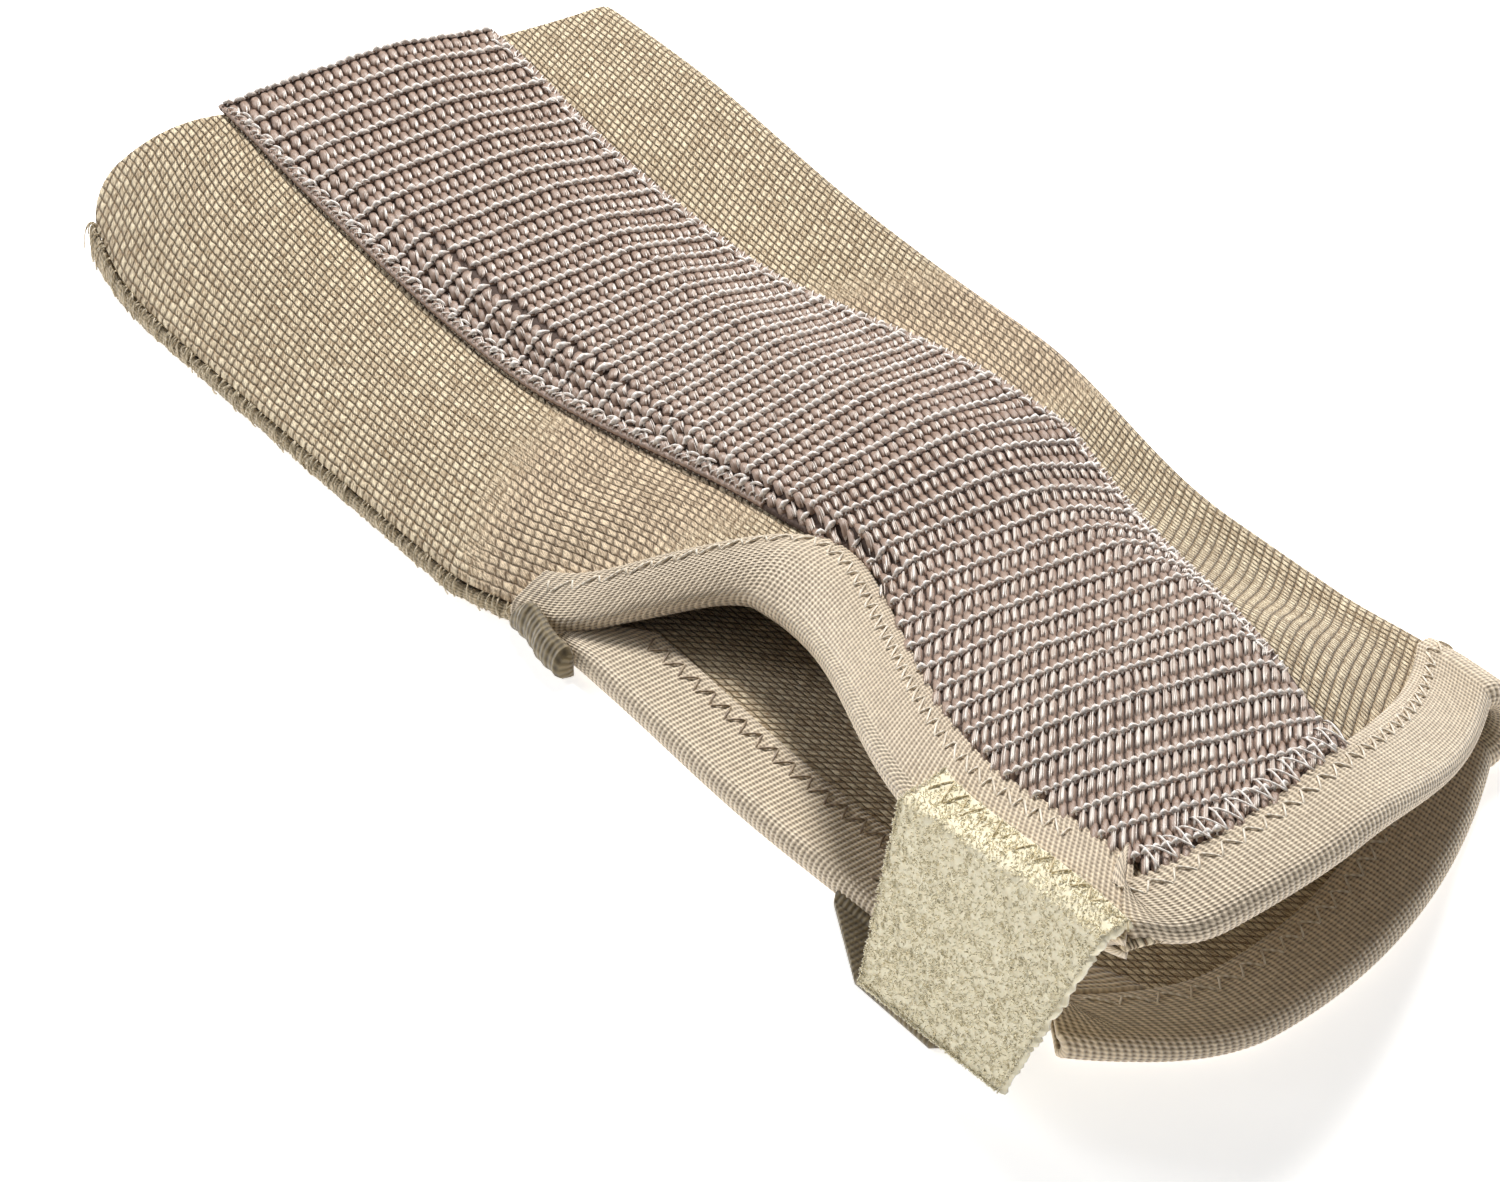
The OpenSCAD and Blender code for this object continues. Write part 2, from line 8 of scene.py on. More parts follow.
import bpy
import numpy as np
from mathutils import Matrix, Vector


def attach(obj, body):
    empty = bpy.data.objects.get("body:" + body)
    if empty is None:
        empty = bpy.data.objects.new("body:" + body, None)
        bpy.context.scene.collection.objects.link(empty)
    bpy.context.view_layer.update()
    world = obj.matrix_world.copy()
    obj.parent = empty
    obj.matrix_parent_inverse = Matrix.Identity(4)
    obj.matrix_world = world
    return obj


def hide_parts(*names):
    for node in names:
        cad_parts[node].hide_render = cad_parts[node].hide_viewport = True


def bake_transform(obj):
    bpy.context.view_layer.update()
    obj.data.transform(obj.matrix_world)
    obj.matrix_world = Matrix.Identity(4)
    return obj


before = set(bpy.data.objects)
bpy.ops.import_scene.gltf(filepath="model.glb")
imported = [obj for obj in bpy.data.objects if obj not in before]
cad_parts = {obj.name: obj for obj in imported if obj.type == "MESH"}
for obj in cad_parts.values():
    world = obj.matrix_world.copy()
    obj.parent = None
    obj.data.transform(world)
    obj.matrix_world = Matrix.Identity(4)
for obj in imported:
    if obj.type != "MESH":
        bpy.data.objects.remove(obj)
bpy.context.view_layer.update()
bpy.ops.object.select_all(action="DESELECT")


# ---- Camera -----------------------------------------------------------------------------
# A long lens looks down on the thumb side and the hand end of the splint.
camera = bpy.data.cameras.new("camera")
camera.lens, camera.sensor_width = 100, 36
camera.clip_start, camera.clip_end = 0.02, 20
view = bpy.data.objects.new("camera", camera)
bpy.context.scene.collection.objects.link(view)
turn, rise = math.radians(53.17), math.radians(36.59)
back_way = Vector((math.sin(turn) * math.cos(rise), -math.cos(turn) * math.cos(rise), math.sin(rise)))
view.location = Vector((0.01188, -0.01676, 0)) + 0.4774 * back_way
view.rotation_euler = back_way.to_track_quat("Z", "Y").to_euler()
bpy.context.scene.camera = view
bpy.context.scene.view_settings.view_transform = "Standard"


# ---- Table and lights -------------------------------------------------------------------
# A plain white table under soft light: a large key light behind the forearm end, a weaker one
# on the thumb side, and even light from all round.
bpy.ops.mesh.primitive_plane_add(size=6, location=(0, 0, 0))
table_top = bpy.context.object
table_top.name = "table_top"
white = bpy.data.materials.new("white_table")
white.use_nodes = True
white_paint = white.node_tree.nodes["Principled BSDF"]
white_paint.inputs["Base Color"].default_value = (0.95, 0.95, 0.95, 1)
white_paint.inputs["Roughness"].default_value = 0.9
white_paint.inputs["Emission Color"].default_value = (1, 1, 1, 1)
white_paint.inputs["Emission Strength"].default_value = 0.68
table_top.data.materials.append(white)

world = bpy.data.worlds.new("studio")
bpy.context.scene.world = world
world.use_nodes = True
world.node_tree.nodes["Background"].inputs["Color"].default_value = (1, 1, 1, 1)
world.node_tree.nodes["Background"].inputs["Strength"].default_value = 0.15


def soft_light(name, place, size, power, colour=(1, 1, 1)):
    lamp = bpy.data.lights.new(name, "AREA")
    lamp.size, lamp.energy, lamp.color = size, power, colour
    holder = bpy.data.objects.new(name, lamp)
    bpy.context.scene.collection.objects.link(holder)
    holder.location = place
    holder.rotation_euler = Vector(place).to_track_quat("Z", "Y").to_euler()


soft_light("key_light", (-0.46, 0.52, 0.82), 0.3, 15.2, (1.0, 0.985, 0.96))
soft_light("thumb_light", (-0.85, -0.55, 0.45), 0.4, 4.8)


# ---- Sleeve -----------------------------------------------------------------------------
# One elastic panel folded into a flat tube. It is woven in short floats, coarse on the
# forearm and the hand and fine at the wrist, with a turned-in edge at the forearm end.
LENGTH, SEAM, PEAK, WEB_END, STAY_END = 205.0, 106.0, 124.9, 176.0, 170.0
LANE0, LANE1, CLOTH = 28.2, 45.2, 1.1
ORIGIN = np.array([100, 40, 0])  # the frame's origin, in the cloth's own millimetres
BACK_N, FOLD_N, PALM_N = 60, 27, 184  # columns of the sleeve's grid on each of its parts
PALM_RUN, FOLD_RUN, CORNER = 84, 12.25, 6.5


def step(a, b, x):
    t = np.clip((x - a) / (b - a), 0, 1)
    return t * t * (3 - 2 * t)


def bell(c, w, x):
    return np.exp(-(((x - c) / w) ** 2))


def y_fold(x):
    return (80.6 - 4.6 * step(0, 90, x) - 6.9 * step(95, 140, x) - 2.5 * step(150, 200, x))


def y_side(x):
    return -4 + 3.5 * bell(0, 12, x) + 4 * step(90, 108, x)


def y_palm(x):
    return y_side(x) + 16 * step(SEAM, PEAK - 1, x) * (1 - step(PEAK + 1, WEB_END, x))


def y_back(x):
    return y_side(x) - bell(145, 20, x) + 6 * step(175, 200, x)


def x_palm(y):
    return LENGTH - 0.007 * np.maximum(y - 12, 0) ** 2 - 3 * bell(-1, 5, y)


def x_back(y):
    return 202.5 - 0.0079 * np.maximum(y - 20, 0) ** 2 - 0.03 * np.maximum(20 - y, 0) ** 2


def r_fold(x):
    return 3.9 - 0.6 * step(20, 60, x) + 1.2 * step(150, 200, x)


def z_edge(x):
    return 3 + 2.5 * bell(0, 15, x) + 19.2 * (
        0.34 * step(104, 124.2, x) + 0.5 * step(117.9, 171.8, x) + 0.16 * step(171.8, 200, x))


def z_lane(x):
    run, over = np.minimum(x, 172) - 57, np.maximum(x - 172, 0)
    return 506.6 - np.sqrt(250000 - run * run) + 3.45 * (1 - np.exp(-over / 15))


def z_back(x, y):
    at_thumb = step(96, 114, x) * (1 - step(9, 22, y - y_back(x)))
    return 1.15 * (1 - (1 - at_thumb) * step(10, 26, x_back(y) - x))


def z_palm(x, y):
    low, side = z_lane(x), LANE1 - 18 * step(165, 202, x)
    p = np.clip((LANE0 - y) / (LANE0 - y_palm(x)), 0, 1)
    q = np.clip((y - side) / (y_fold(x) - side), 0, 1)
    top = z_back(x, y_fold(x)) + 2 * r_fold(x)
    return (low + (z_edge(x) - low) * p ** 1.6
            + (1 + 3.6 * bell(0, 40, x) + 1.5 * bell(104, 25, x)) * 4 * p ** 1.3 * (1 - p)
            - 1.4 * bell(60, 35, x) * 12 * p * (1 - p) ** 4
            + (top - low) * q * q * (3 - 2 * q)
            + (bell(125, 30, x) - 1.4 * bell(62, 32, x)) * 16 * (q * (1 - q)) ** 2)


def stack(x, y, z):
    return np.stack(np.broadcast_arrays(x, y, z), -1)


def unit(v):
    return v / np.linalg.norm(v, axis=-1, keepdims=True)


def palm_out(x, y):
    v = np.maximum(y, y_palm(x) + 0.5)
    return unit(stack(z_palm(x - 0.5, v) - z_palm(x + 0.5, v),
                      z_palm(x, v - 0.5) - z_palm(x, v + 0.5), 1.0))


def palm_at(x, y, d):
    return stack(x, y, z_palm(x, y)) + palm_out(x, y) * np.asarray(d)[..., None]


def back_at(x, y, d):
    out = unit(stack(z_back(x + 0.5, y) - z_back(x - 0.5, y),
                     z_back(x, y + 0.5) - z_back(x, y - 0.5), -1.0))
    return stack(x, y, z_back(x, y)) + out * np.asarray(d)[..., None]


def fold_at(x, turn, d):
    r = r_fold(x) + d
    return stack(x, y_fold(x) + r * np.cos(turn),
                 z_back(x, y_fold(x)) + r_fold(x) + r * np.sin(turn))


def sheet(outer, inner, uv, skip=1, bulge=0.3):
    """A closed sheet between two grids; the inner one keeps only every skip-th point."""
    def quads(r, c):
        g = np.arange(r * c).reshape(r, c)
        return np.stack([g[:-1, :-1], g[:-1, 1:], g[1:, 1:], g[1:, :-1]], -1).reshape(-1, 4)

    def rim(r, c):
        g = np.arange(r * c).reshape(r, c)
        return np.concatenate([g[0, :-1], g[:-1, -1], g[-1, :0:-1], g[:0:-1, 0]])

    rows, cols = outer.shape[:2]
    edge = rim(rows, cols)
    inside = np.clip(edge // cols, 1, rows - 2) * cols + np.clip(edge % cols, 1, cols - 2)
    whole, under = outer.reshape(-1, 3), inner.reshape(-1, 3)
    middle = (whole[edge] + under[edge]) / 2
    middle = middle + bulge * unit(whole[edge] - whole[inside])
    thin = inner[::skip, ::skip]
    r2, c2 = thin.shape[:2]
    m0 = rows * cols
    i0 = m0 + len(edge)
    mid = m0 + np.arange(len(edge))
    mid_on, edge_on = np.roll(mid, -1), np.roll(edge, -1)
    low = i0 + rim(r2, c2)
    low_on = np.roll(low, -1)
    faces = [quads(rows, cols), np.stack([edge_on, edge, mid, mid_on], 1),
             i0 + quads(r2, c2)[:, ::-1]]
    half = (skip + 1) // 2
    for k in range(skip):
        faces.append(np.stack([mid_on[k::skip], mid[k::skip], low if k < half else low_on], 1))
    faces.append(np.stack([mid_on[half - 1::skip], low, low_on], 1))
    flat = uv.reshape(-1, 2)
    return (np.concatenate([whole, middle, thin.reshape(-1, 3)]), faces,
            np.concatenate([flat, flat[edge], uv[::skip, ::skip].reshape(-1, 2)]))


def piece(name, points, faces, uv=None):
    """A mesh object from points in millimetres and arrays of faces, turned outward."""
    points = (points - ORIGIN) / 1000
    points[:, 2] = np.maximum(points[:, 2], 0)
    volume = sum(np.einsum("ij,ij->", points[f[:, 0]],
                           np.cross(points[f[:, k]], points[f[:, k + 1]]))
                 for f in faces for k in range(1, f.shape[1] - 1))
    if volume < 0:
        faces = [f[:, ::-1] for f in faces]
    corners = np.concatenate([f.ravel() for f in faces]).astype(np.int32)
    sizes = np.concatenate([np.full(len(f), f.shape[1]) for f in faces])
    mesh = bpy.data.meshes.new(name)
    mesh.vertices.add(len(points))
    mesh.vertices.foreach_set("co", points.astype(np.float32).ravel())
    mesh.loops.add(len(corners))
    mesh.loops.foreach_set("vertex_index", corners)
    mesh.polygons.add(len(sizes))
    starts = np.concatenate([[0], np.cumsum(sizes)[:-1]])
    mesh.polygons.foreach_set("loop_start", starts.astype(np.int32))
    mesh.polygons.foreach_set("use_smooth", np.full(len(sizes), True))
    if uv is not None:
        mesh.uv_layers.new(name="weave").data.foreach_set("uv", uv[corners].astype(np.float32).ravel())
    mesh.update(calc_edges=True)
    mesh.validate()
    made = bpy.data.objects.new(name, mesh)
    bpy.context.scene.collection.objects.link(made)
    return made


def finish_piece(made, material, body, slot, *nodes):
    made.data.materials.append(material)
    if body:
        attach(made, body)
    if nodes:
        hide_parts(*nodes)


STEP_X = 0.675
PITCH = PALM_RUN / 91.5


def weave_relief(u, v):
    """Height of the coarse rows of floats, which die out where the weave is fine."""
    coarse = np.clip(1 - step(70, 78, u) + step(116, 122, u), 0, 1)
    return coarse * (0.035 * np.cos(2 * np.pi * v / PITCH) - 0.02)


def squeeze(x, limit, end, near):
    """Stations beyond near are packed into the hidden strip between near and limit."""
    return np.where(x < near, x, near + (limit - near) * (x - near) / (end - near))


def palm_column(f, x):
    s = (y_fold(x) - y_side(x)) * f
    deep = y_palm(x) - y_side(x)
    return np.where(s > deep + 6, y_side(x) + s, y_palm(x) + 6 * s / (deep + 6))


stations = np.arange(304)[:, None] * STEP_X
part_b = np.arange(BACK_N) / BACK_N
part_f = np.arange(FOLD_N) / FOLD_N
part_p = 1 - np.arange(PALM_N) / (PALM_N - 1)
end_b = np.full(BACK_N, 190.0)
end_p = np.full(PALM_N, 190.0)
for _ in range(8):
    end_b = x_back(y_back(end_b) + (y_fold(end_b) - y_back(end_b)) * part_b)
    end_p = x_palm(palm_column(part_p, end_p))
fold_mix = step(0, 1, part_f)
end_0 = 190.0
for _ in range(8):
    end_0 = x_back(y_fold(end_0))
end_f = end_0 * (1 - fold_mix) + end_p[0] * fold_mix
last = stations[-1, 0]
xb, xf, xp = (squeeze(stations, e, last, e - 7.5) for e in (end_b, end_f, end_p))


def corner(f):
    """How far the rounded thumb-side corner of the forearm end draws the cloth's end in."""
    near = np.clip(1 - PALM_RUN * f / CORNER, 0, 1)
    return CORNER * (1 - np.sqrt(np.maximum(1 - near ** 2, 0.02)))


xb = xb + corner(part_b) * np.clip(1 - xb / 14, 0, 1)
xp = xp + corner(part_p) * np.clip(1 - xp / 14, 0, 1)
yb = y_back(xb) + (y_fold(xb) - y_back(xb)) * part_b
yp = palm_column(part_p, xp)
v_back = PALM_RUN + FOLD_RUN + PALM_RUN * (y_fold(xb) - yb) / (y_fold(xb) - y_side(xb))
v_fold = PALM_RUN + FOLD_RUN - FOLD_RUN * part_f + 0 * xf
v_palm = PALM_RUN * (yp - y_side(xp)) / (y_fold(xp) - y_side(xp))
turns = np.pi * (part_f - 0.5)
sleeve_uv = np.stack([np.concatenate([xb, xf, xp], 1),
                      np.concatenate([v_back, v_fold, v_palm], 1)], -1)


def sleeve_skin(d):
    db, df, dp = np.split(d, [BACK_N, BACK_N + FOLD_N], 1)
    return np.concatenate([back_at(xb, yb, db), fold_at(xf, turns, df), palm_at(xp, yp, dp)], 1)


relief = weave_relief(sleeve_uv[..., 0], sleeve_uv[..., 1])
relief[:, :BACK_N] *= 0.3
sleeve = piece("sleeve_cloth", *sheet(sleeve_skin(relief), sleeve_skin(relief * 0 - CLOTH),
                                      sleeve_uv, skip=3, bulge=0.35))


def node_kit(tree):
    """Short ways to add and join nodes in one tree."""
    def put(kind, **sockets):
        node = tree.nodes.new(kind)
        for key, value in sockets.items():
            if hasattr(node, key):
                setattr(node, key, value)
        return node

    def join(value, socket):
        if isinstance(value, (int, float)):
            socket.default_value = value
        elif isinstance(value, tuple):
            socket.default_value = value if len(value) == len(socket.default_value) else (*value, 1)
        else:
            tree.links.new(value, socket)

    def calc(operation, a, b=0.0, c=0.0, clamp=False):
        node = put("ShaderNodeMath", operation=operation, use_clamp=clamp)
        for value, socket in zip((a, b, c), node.inputs):
            join(value, socket)
        return node.outputs[0]

    def blend(factor, a, b, mode="MIX"):
        node = put("ShaderNodeMix", data_type="RGBA", blend_type=mode)
        join(factor, node.inputs["Factor"])
        join(a, node.inputs[6])
        join(b, node.inputs[7])
        return node.outputs[2]

    def noise(vector, scale, detail=3.0):
        node = put("ShaderNodeTexNoise")
        join(vector, node.inputs["Vector"])
        node.inputs["Scale"].default_value = scale
        node.inputs["Detail"].default_value = detail
        return node.outputs[0]

    def pack(x, y, z=0.0):
        node = put("ShaderNodeCombineXYZ")
        for value, socket in zip((x, y, z), node.inputs):
            join(value, socket)
        return node.outputs[0]

    def split(vector):
        node = put("ShaderNodeSeparateXYZ")
        join(vector, node.inputs[0])
        return node.outputs[0], node.outputs[1], node.outputs[2]

    def bump(height, shader, strength, distance):
        node = put("ShaderNodeBump")
        node.inputs["Strength"].default_value = strength
        node.inputs["Distance"].default_value = distance
        join(height, node.inputs["Height"])
        join(node.outputs[0], shader.inputs["Normal"])

    return put, join, calc, blend, noise, pack, split, bump


def new_material(name, roughness, sheen=0.0, specular=0.5):
    made = bpy.data.materials.new(name)
    made.use_nodes = True
    shader = made.node_tree.nodes["Principled BSDF"]
    shader.inputs["Roughness"].default_value = roughness
    shader.inputs["Sheen Weight"].default_value = sheen
    shader.inputs["Sheen Roughness"].default_value = 0.5
    shader.inputs["Specular IOR Level"].default_value = specular
    return made, shader, node_kit(made.node_tree)


# Woven floats: rows of short bricks of yarn, each row moved along from the one before.
weave = bpy.data.node_groups.new("woven_floats", "ShaderNodeTree")
weave.interface.new_socket("Vector", in_out="INPUT", socket_type="NodeSocketVector")
for label in ("Row", "Float", "Slant", "Fill", "Shift"):
    weave.interface.new_socket(label, in_out="INPUT", socket_type="NodeSocketFloat")
for label in ("Height", "Tone", "Fibre", "Over"):
    weave.interface.new_socket(label, in_out="OUTPUT", socket_type="NodeSocketFloat")
put, join, calc, blend, noise, pack, split, bump = node_kit(weave)
give, take = put("NodeGroupInput"), put("NodeGroupOutput")
wu, wv, _ = split(give.outputs["Vector"])
wander = noise(give.outputs["Vector"], 0.7, 3)
row_at = calc("ADD", calc("DIVIDE", wv, give.outputs["Row"]),
              calc("MULTIPLY_ADD", wander, 0.5, 0.25))
row_no = calc("FLOOR", row_at)
off_row = calc("SUBTRACT", calc("FRACT", row_at), 0.5)
shift = calc("MULTIPLY", row_no, give.outputs["Shift"])
float_at = calc("ADD", calc("ADD", calc("DIVIDE", wu, give.outputs["Float"]), shift),
                calc("MULTIPLY", off_row, give.outputs["Slant"]))
float_no = calc("FLOOR", float_at)
off_end = calc("SUBTRACT", calc("FRACT", float_at), 0.5)
bulk = calc("SUBTRACT", 1.0, calc("POWER", calc("ABSOLUTE", calc("MULTIPLY", off_row, 2.0)), 4.6))
end_dip = calc("POWER", calc("ABSOLUTE", calc("MULTIPLY", off_end, 2.0)), give.outputs["Fill"])
ends = calc("SUBTRACT", 1.0, calc("MULTIPLY", 0.86, end_dip))
over = calc("FLOORED_MODULO", calc("ADD", row_no, float_no), 2.0)
join(over, take.inputs["Over"])
join(calc("MULTIPLY", bulk, ends), take.inputs["Height"])
speck = put("ShaderNodeTexWhiteNoise", noise_dimensions="2D")
join(pack(row_no, float_no), speck.inputs["Vector"])
join(speck.outputs["Value"], take.inputs["Tone"])
# Fibre: streaks along the yarn, which the sleeve's material paints as highlights and also uses for bumps.
fibre_v = calc("ADD", calc("MULTIPLY", wv, 6.0), calc("MULTIPLY", wu, 3.4))
join(noise(pack(calc("MULTIPLY", wu, 1.3), fibre_v), 1.0, 2), take.inputs["Fibre"])


def cloth_material(name, coarse, fine):
    """Sleeve cloth: a coarse weave that gives way to a fine one at the wrist, coloured with painted shade in
    the grooves between floats and painted highlights along the fibre streaks.
    """
    made, shader, kit = new_material(name, 0.62, 0.1, 0.3)
    put, join, calc, blend, noise, pack, split, bump = kit
    place = put("ShaderNodeUVMap", uv_map="weave").outputs[0]

    def woven(row, length, slant, fill, step_on, over_lift):
        node = put("ShaderNodeGroup", node_tree=weave)
        join(place, node.inputs["Vector"])
        for key, value in (("Row", row), ("Float", length), ("Slant", slant), ("Fill", fill),
                           ("Shift", step_on)):
            node.inputs[key].default_value = value
        height, tone, fibre, over = node.outputs
        lift = calc("MULTIPLY_ADD", over, over_lift, 1.0 - over_lift)
        # Painted shade: the colour darkens with the floats' height into the grooves between them, mixed with
        # random tone per float.
        painted_shading_and_tone = calc("MULTIPLY", calc("POWER", height, 0.9, clamp=True), lift)
        # Painted highlights: the fibre streaks lighten the tops of the floats.
        tone_and_streak_highlight = calc("ADD", calc("MULTIPLY", tone, 0.45), calc("MULTIPLY_ADD", fibre, 3.0, -0.9))
        return calc("MULTIPLY", height, lift), calc("MULTIPLY", painted_shading_and_tone, tone_and_streak_highlight, clamp=True), fibre

    height, painted_shading_and_tone, fibre = woven(*coarse)
    height2, fine_painted_shading_and_tone, _ = woven(*fine)
    u, v, _ = split(place)
    bow = calc("MULTIPLY", calc("POWER", calc("SUBTRACT", v, 52.0), 2.0), 0.0085)
    wobble = calc("MULTIPLY", noise(place, 0.4, 3), 7.0)
    start = calc("SUBTRACT", calc("SUBTRACT", u, wobble), calc("ADD", calc("MINIMUM", bow, 25.0), 64.0))
    stop = calc("SUBTRACT", 119.0, calc("ADD", u, wobble))
    mask = calc("MULTIPLY", calc("MULTIPLY", start, 0.13, clamp=True),
                calc("MULTIPLY", stop, 0.12, clamp=True))
    # The dark colours are painted shade in the grooves; the light ones are the lit tops of the floats.
    colour = blend(mask, blend(painted_shading_and_tone, (0.25, 0.14, 0.05), (1.0, 0.855, 0.61)),
                   blend(fine_painted_shading_and_tone, (0.17, 0.095, 0.04), (0.96, 0.77, 0.54)))
    height = calc("ADD", calc("MULTIPLY", height, calc("SUBTRACT", 1.0, mask)),
                  calc("MULTIPLY", calc("MULTIPLY", height2, mask), 0.8))
    patchy = calc("MULTIPLY_ADD", noise(place, 0.06, 3), 0.22, 0.89)
    join(blend(1.0, colour, pack(patchy, patchy, patchy), "MULTIPLY"), shader.inputs["Base Color"])
    bump(calc("ADD", height, calc("MULTIPLY", fibre, 0.45)), shader, 1.0, 0.0006)
    return made


sleeve_cloth = cloth_material("sleeve_weave", (PITCH, 1.4, 0.5, 3.2, 0.43, 0.2),
                              (1.06, 1.45, 0.7, 3.0, 0.4, 0.16))
finish_piece(sleeve, sleeve_cloth, "sleeve", "sleeve_weave", "sleeve_panel")


# ---- Pocket band ------------------------------------------------------------------------
# A tape of thick ribbed webbing sewn over the palm layer as the pocket of the stay. Mauve
# bundles of yarn run along it, with paler strands on them that are painted highlights, and
# white binder threads cross them in rows. A rolled selvedge edges it.
def bind_edge(x):
    return y_palm(x) + 8 + 2.5 * bell(PEAK, 13, x)


def band_left(x):
    return 21.5 + 4.3 * step(65, 113, x)


def band_y0(x):
    edge = bind_edge(x) + 0.2
    return np.where(x > PEAK, edge, np.maximum(edge, band_left(x)))


def band_y1(x):
    return 60.5 + 3.3 * bell(0, 22, x) + 5.3 * step(62, 104, x) - 0.393 * np.clip(x - 118, 0, 70)


def band_rise(x, y):
    y0, y1 = band_y0(x), band_y1(x)
    off_lane = np.clip(28.3 - y, 0, None)
    bridge = 0.42 * bell(60, 35, x) * off_lane * np.exp(-(off_lane / 2.6) ** 2)
    far_side = 1 - step(np.minimum(44.9, y1 - 3), y1 - 0.4, y)
    return bridge + 0.1 + 1.8 * step(y0 + 0.2, 28.4, y) * far_side * (1 - step(171.5, 188, x))


def band_end(y):
    return x_palm(y) - 8 * np.sqrt(1 + (0.014 * np.maximum(y - 12, 0)) ** 2) - 0.2


def on_band(x, y, d):
    return palm_at(x, y, band_rise(x, y) + d)


t = np.linspace(0, 1, 61)
x_end = np.full_like(t, 193.0)
for _ in range(8):
    x_end = band_end(band_y0(x_end) + (band_y1(x_end) - band_y0(x_end)) * t)
bx = -1 + np.linspace(0, 1, 241)[:, None] * (x_end + 1)
by = band_y0(bx) + (band_y1(bx) - band_y0(bx)) * t
lip = bell(-1, 1.6, bx)
band_uv = np.stack(np.broadcast_arrays(bx, by), -1)
band = piece("pocket_band_ground", *sheet(on_band(bx, by, 0.62 + 0.2 * lip), on_band(bx, by, 0 * bx),
                                          band_uv, skip=2, bulge=0.25))

rows_x = [-0.6]
while rows_x[-1] < 205:
    row_gap = np.interp(rows_x[-1], [0, 45, 60, 72, 95, 110, 125, 148, 165, 190],
                        [5.0, 4.6, 4.1, 3.6, 3.5, 4.2, 5.0, 5.4, 5.1, 4.8])
    rows_x.append(rows_x[-1] + float(row_gap))

COLUMNS = 29


def first_column(x):
    return band_left(x) - 0.265 * np.clip(x - 118, 0, 70)


def column_pitch(x):
    return (band_y1(x) - first_column(x) - 0.5) / COLUMNS


def column_y(x, c):
    return first_column(x) + 0.2 + (c + 0.5) * column_pitch(x)


def row_tilt(x):
    return np.interp(x, [50, 75, 106, 122, 138, 185], [0, -0.12, -0.2, 0, 0.16, 0.28])


def cells(part):
    """Where the band's rows and columns cross; part is a share of the way to the next row."""
    out = []
    for here, there in zip(rows_x[:-1], rows_x[1:]):
        gap = there - here
        for c in range(-12, COLUMNS):
            x, y = here + part * gap, 0
            for _ in range(4):
                y = column_y(x, c)
                x = here + part * gap + row_tilt(here) * (y - 36)
            if y > band_y0(x) - (0.35 if x > 100 else -0.2) and -1.2 < x < band_end(y) + 0.5:
                out.append((x, y, gap, c))
    return np.array(out)


rng = np.random.default_rng(7)


def threads(lines, radius, sides=6, flat=1.0):
    """Closed tubes along polylines; lines is (how many, points on each, 3)."""
    along = unit(np.gradient(lines, axis=1))
    side = unit(np.cross(along, [0.06, 0.04, 1.0]))
    over = np.cross(side, along)
    n, m = lines.shape[:2]
    angle = np.arange(sides) * 2 * np.pi / sides
    r = np.broadcast_to(radius, (n, m))[..., None, None]
    ring = lines[:, :, None] + r * (np.cos(angle)[:, None] * side[:, :, None]
                                    + flat * np.sin(angle)[:, None] * over[:, :, None])
    index = np.arange(n * m * sides).reshape(n, m, sides)
    a, b = index[:, :-1], index[:, 1:]
    walls = np.stack([a, np.roll(a, -1, 2), np.roll(b, -1, 2), b], -1).reshape(-1, 4)
    return ring.reshape(-1, 3), [walls, index[:, 0, ::-1], index[:, -1]]


def together(*sets):
    points, faces, start = [], [], 0
    for p, f in sets:
        points.append(p)
        faces += [g + start for g in f]
        start += len(p)
    return np.concatenate(points), faces


def along_band(cell, a, b, d):
    """Lines on the band from local stations a (along it), b (across it) and heights d."""
    x = cell[:, 0, None] + a
    return on_band(x, np.broadcast_to(cell[:, 1, None] + b, x.shape), np.broadcast_to(d, x.shape))


reach = np.array([-0.5, -0.36, -0.12, 0.12, 0.36, 0.5])
bundles = []
for part in (0.3, 0.77):
    cell = cells(part)
    hand = step(106, 128, cell[:, 0])[:, None]
    span = cell[:, 2, None] * (0.5 if part < 0.5 else 0.54)
    wide = column_pitch(cell[:, 0])[:, None] * (0.47 - 0.05 * hand)
    lean = -0.95 - 0.3 * hand - 0.9 * step(124, 150, cell[:, :1]) + rng.normal(0, 0.05, (len(cell), 1))
    lines = along_band(cell, reach * span, reach * lean, 0.66 - 0.04 * hand + 0.16 * np.cos(reach * 5.2))
    lines = lines + rng.normal(0, 0.03, (len(cell), 1, 3))
    bundles.append(threads(lines, wide * np.array([0.6, 0.9, 0.96, 0.96, 0.9, 0.6]), 6, 0.62))
bundle_yarn = piece("pocket_band_bundles", *together(*bundles))

cell = cells(0.0)
n = len(cell)
hand = step(106, 128, cell[:, 0])[:, None]
half = column_pitch(cell[:, 0])[:, None] * (0.46 + 0.05 * rng.normal(0, 1, (n, 1)))
p = np.linspace(-1, 1, 5)
binder = along_band(cell, (0.3 - 0.12 * hand) * p * 0.8 + 0.07 * rng.normal(0, 1, (n, 1)), half * p,
                    0.95 + 0.3 * np.cos(p * 1.5) + 0.05 * rng.normal(0, 1, (n, 1)))
binder_threads = threads(binder, (0.31 - 0.05 * hand + 0.03 * rng.normal(0, 1, (n, 1)))
                         * np.array([0.45, 0.95, 1.5, 0.95, 0.45]), 6, 0.85)
p = np.linspace(-1, 1, 4)
tick = along_band(cell, 0.05 + (0.35 + 0.2 * hand) * (p - 0.2), -0.1 - (0.25 + 0.1 * hand) * p,
                  0.95 + 0.16 * np.cos(p * 1.5))
ticks = threads(tick, 0.1 + 0.02 * rng.random((n, 1)), 3)
cell = cells(0.5)
n = len(cell)
hand = step(106, 128, cell[:, 0])[:, None]
# Pale strands lying on the bundles: painted highlights of the yarn's gloss.
strands = []
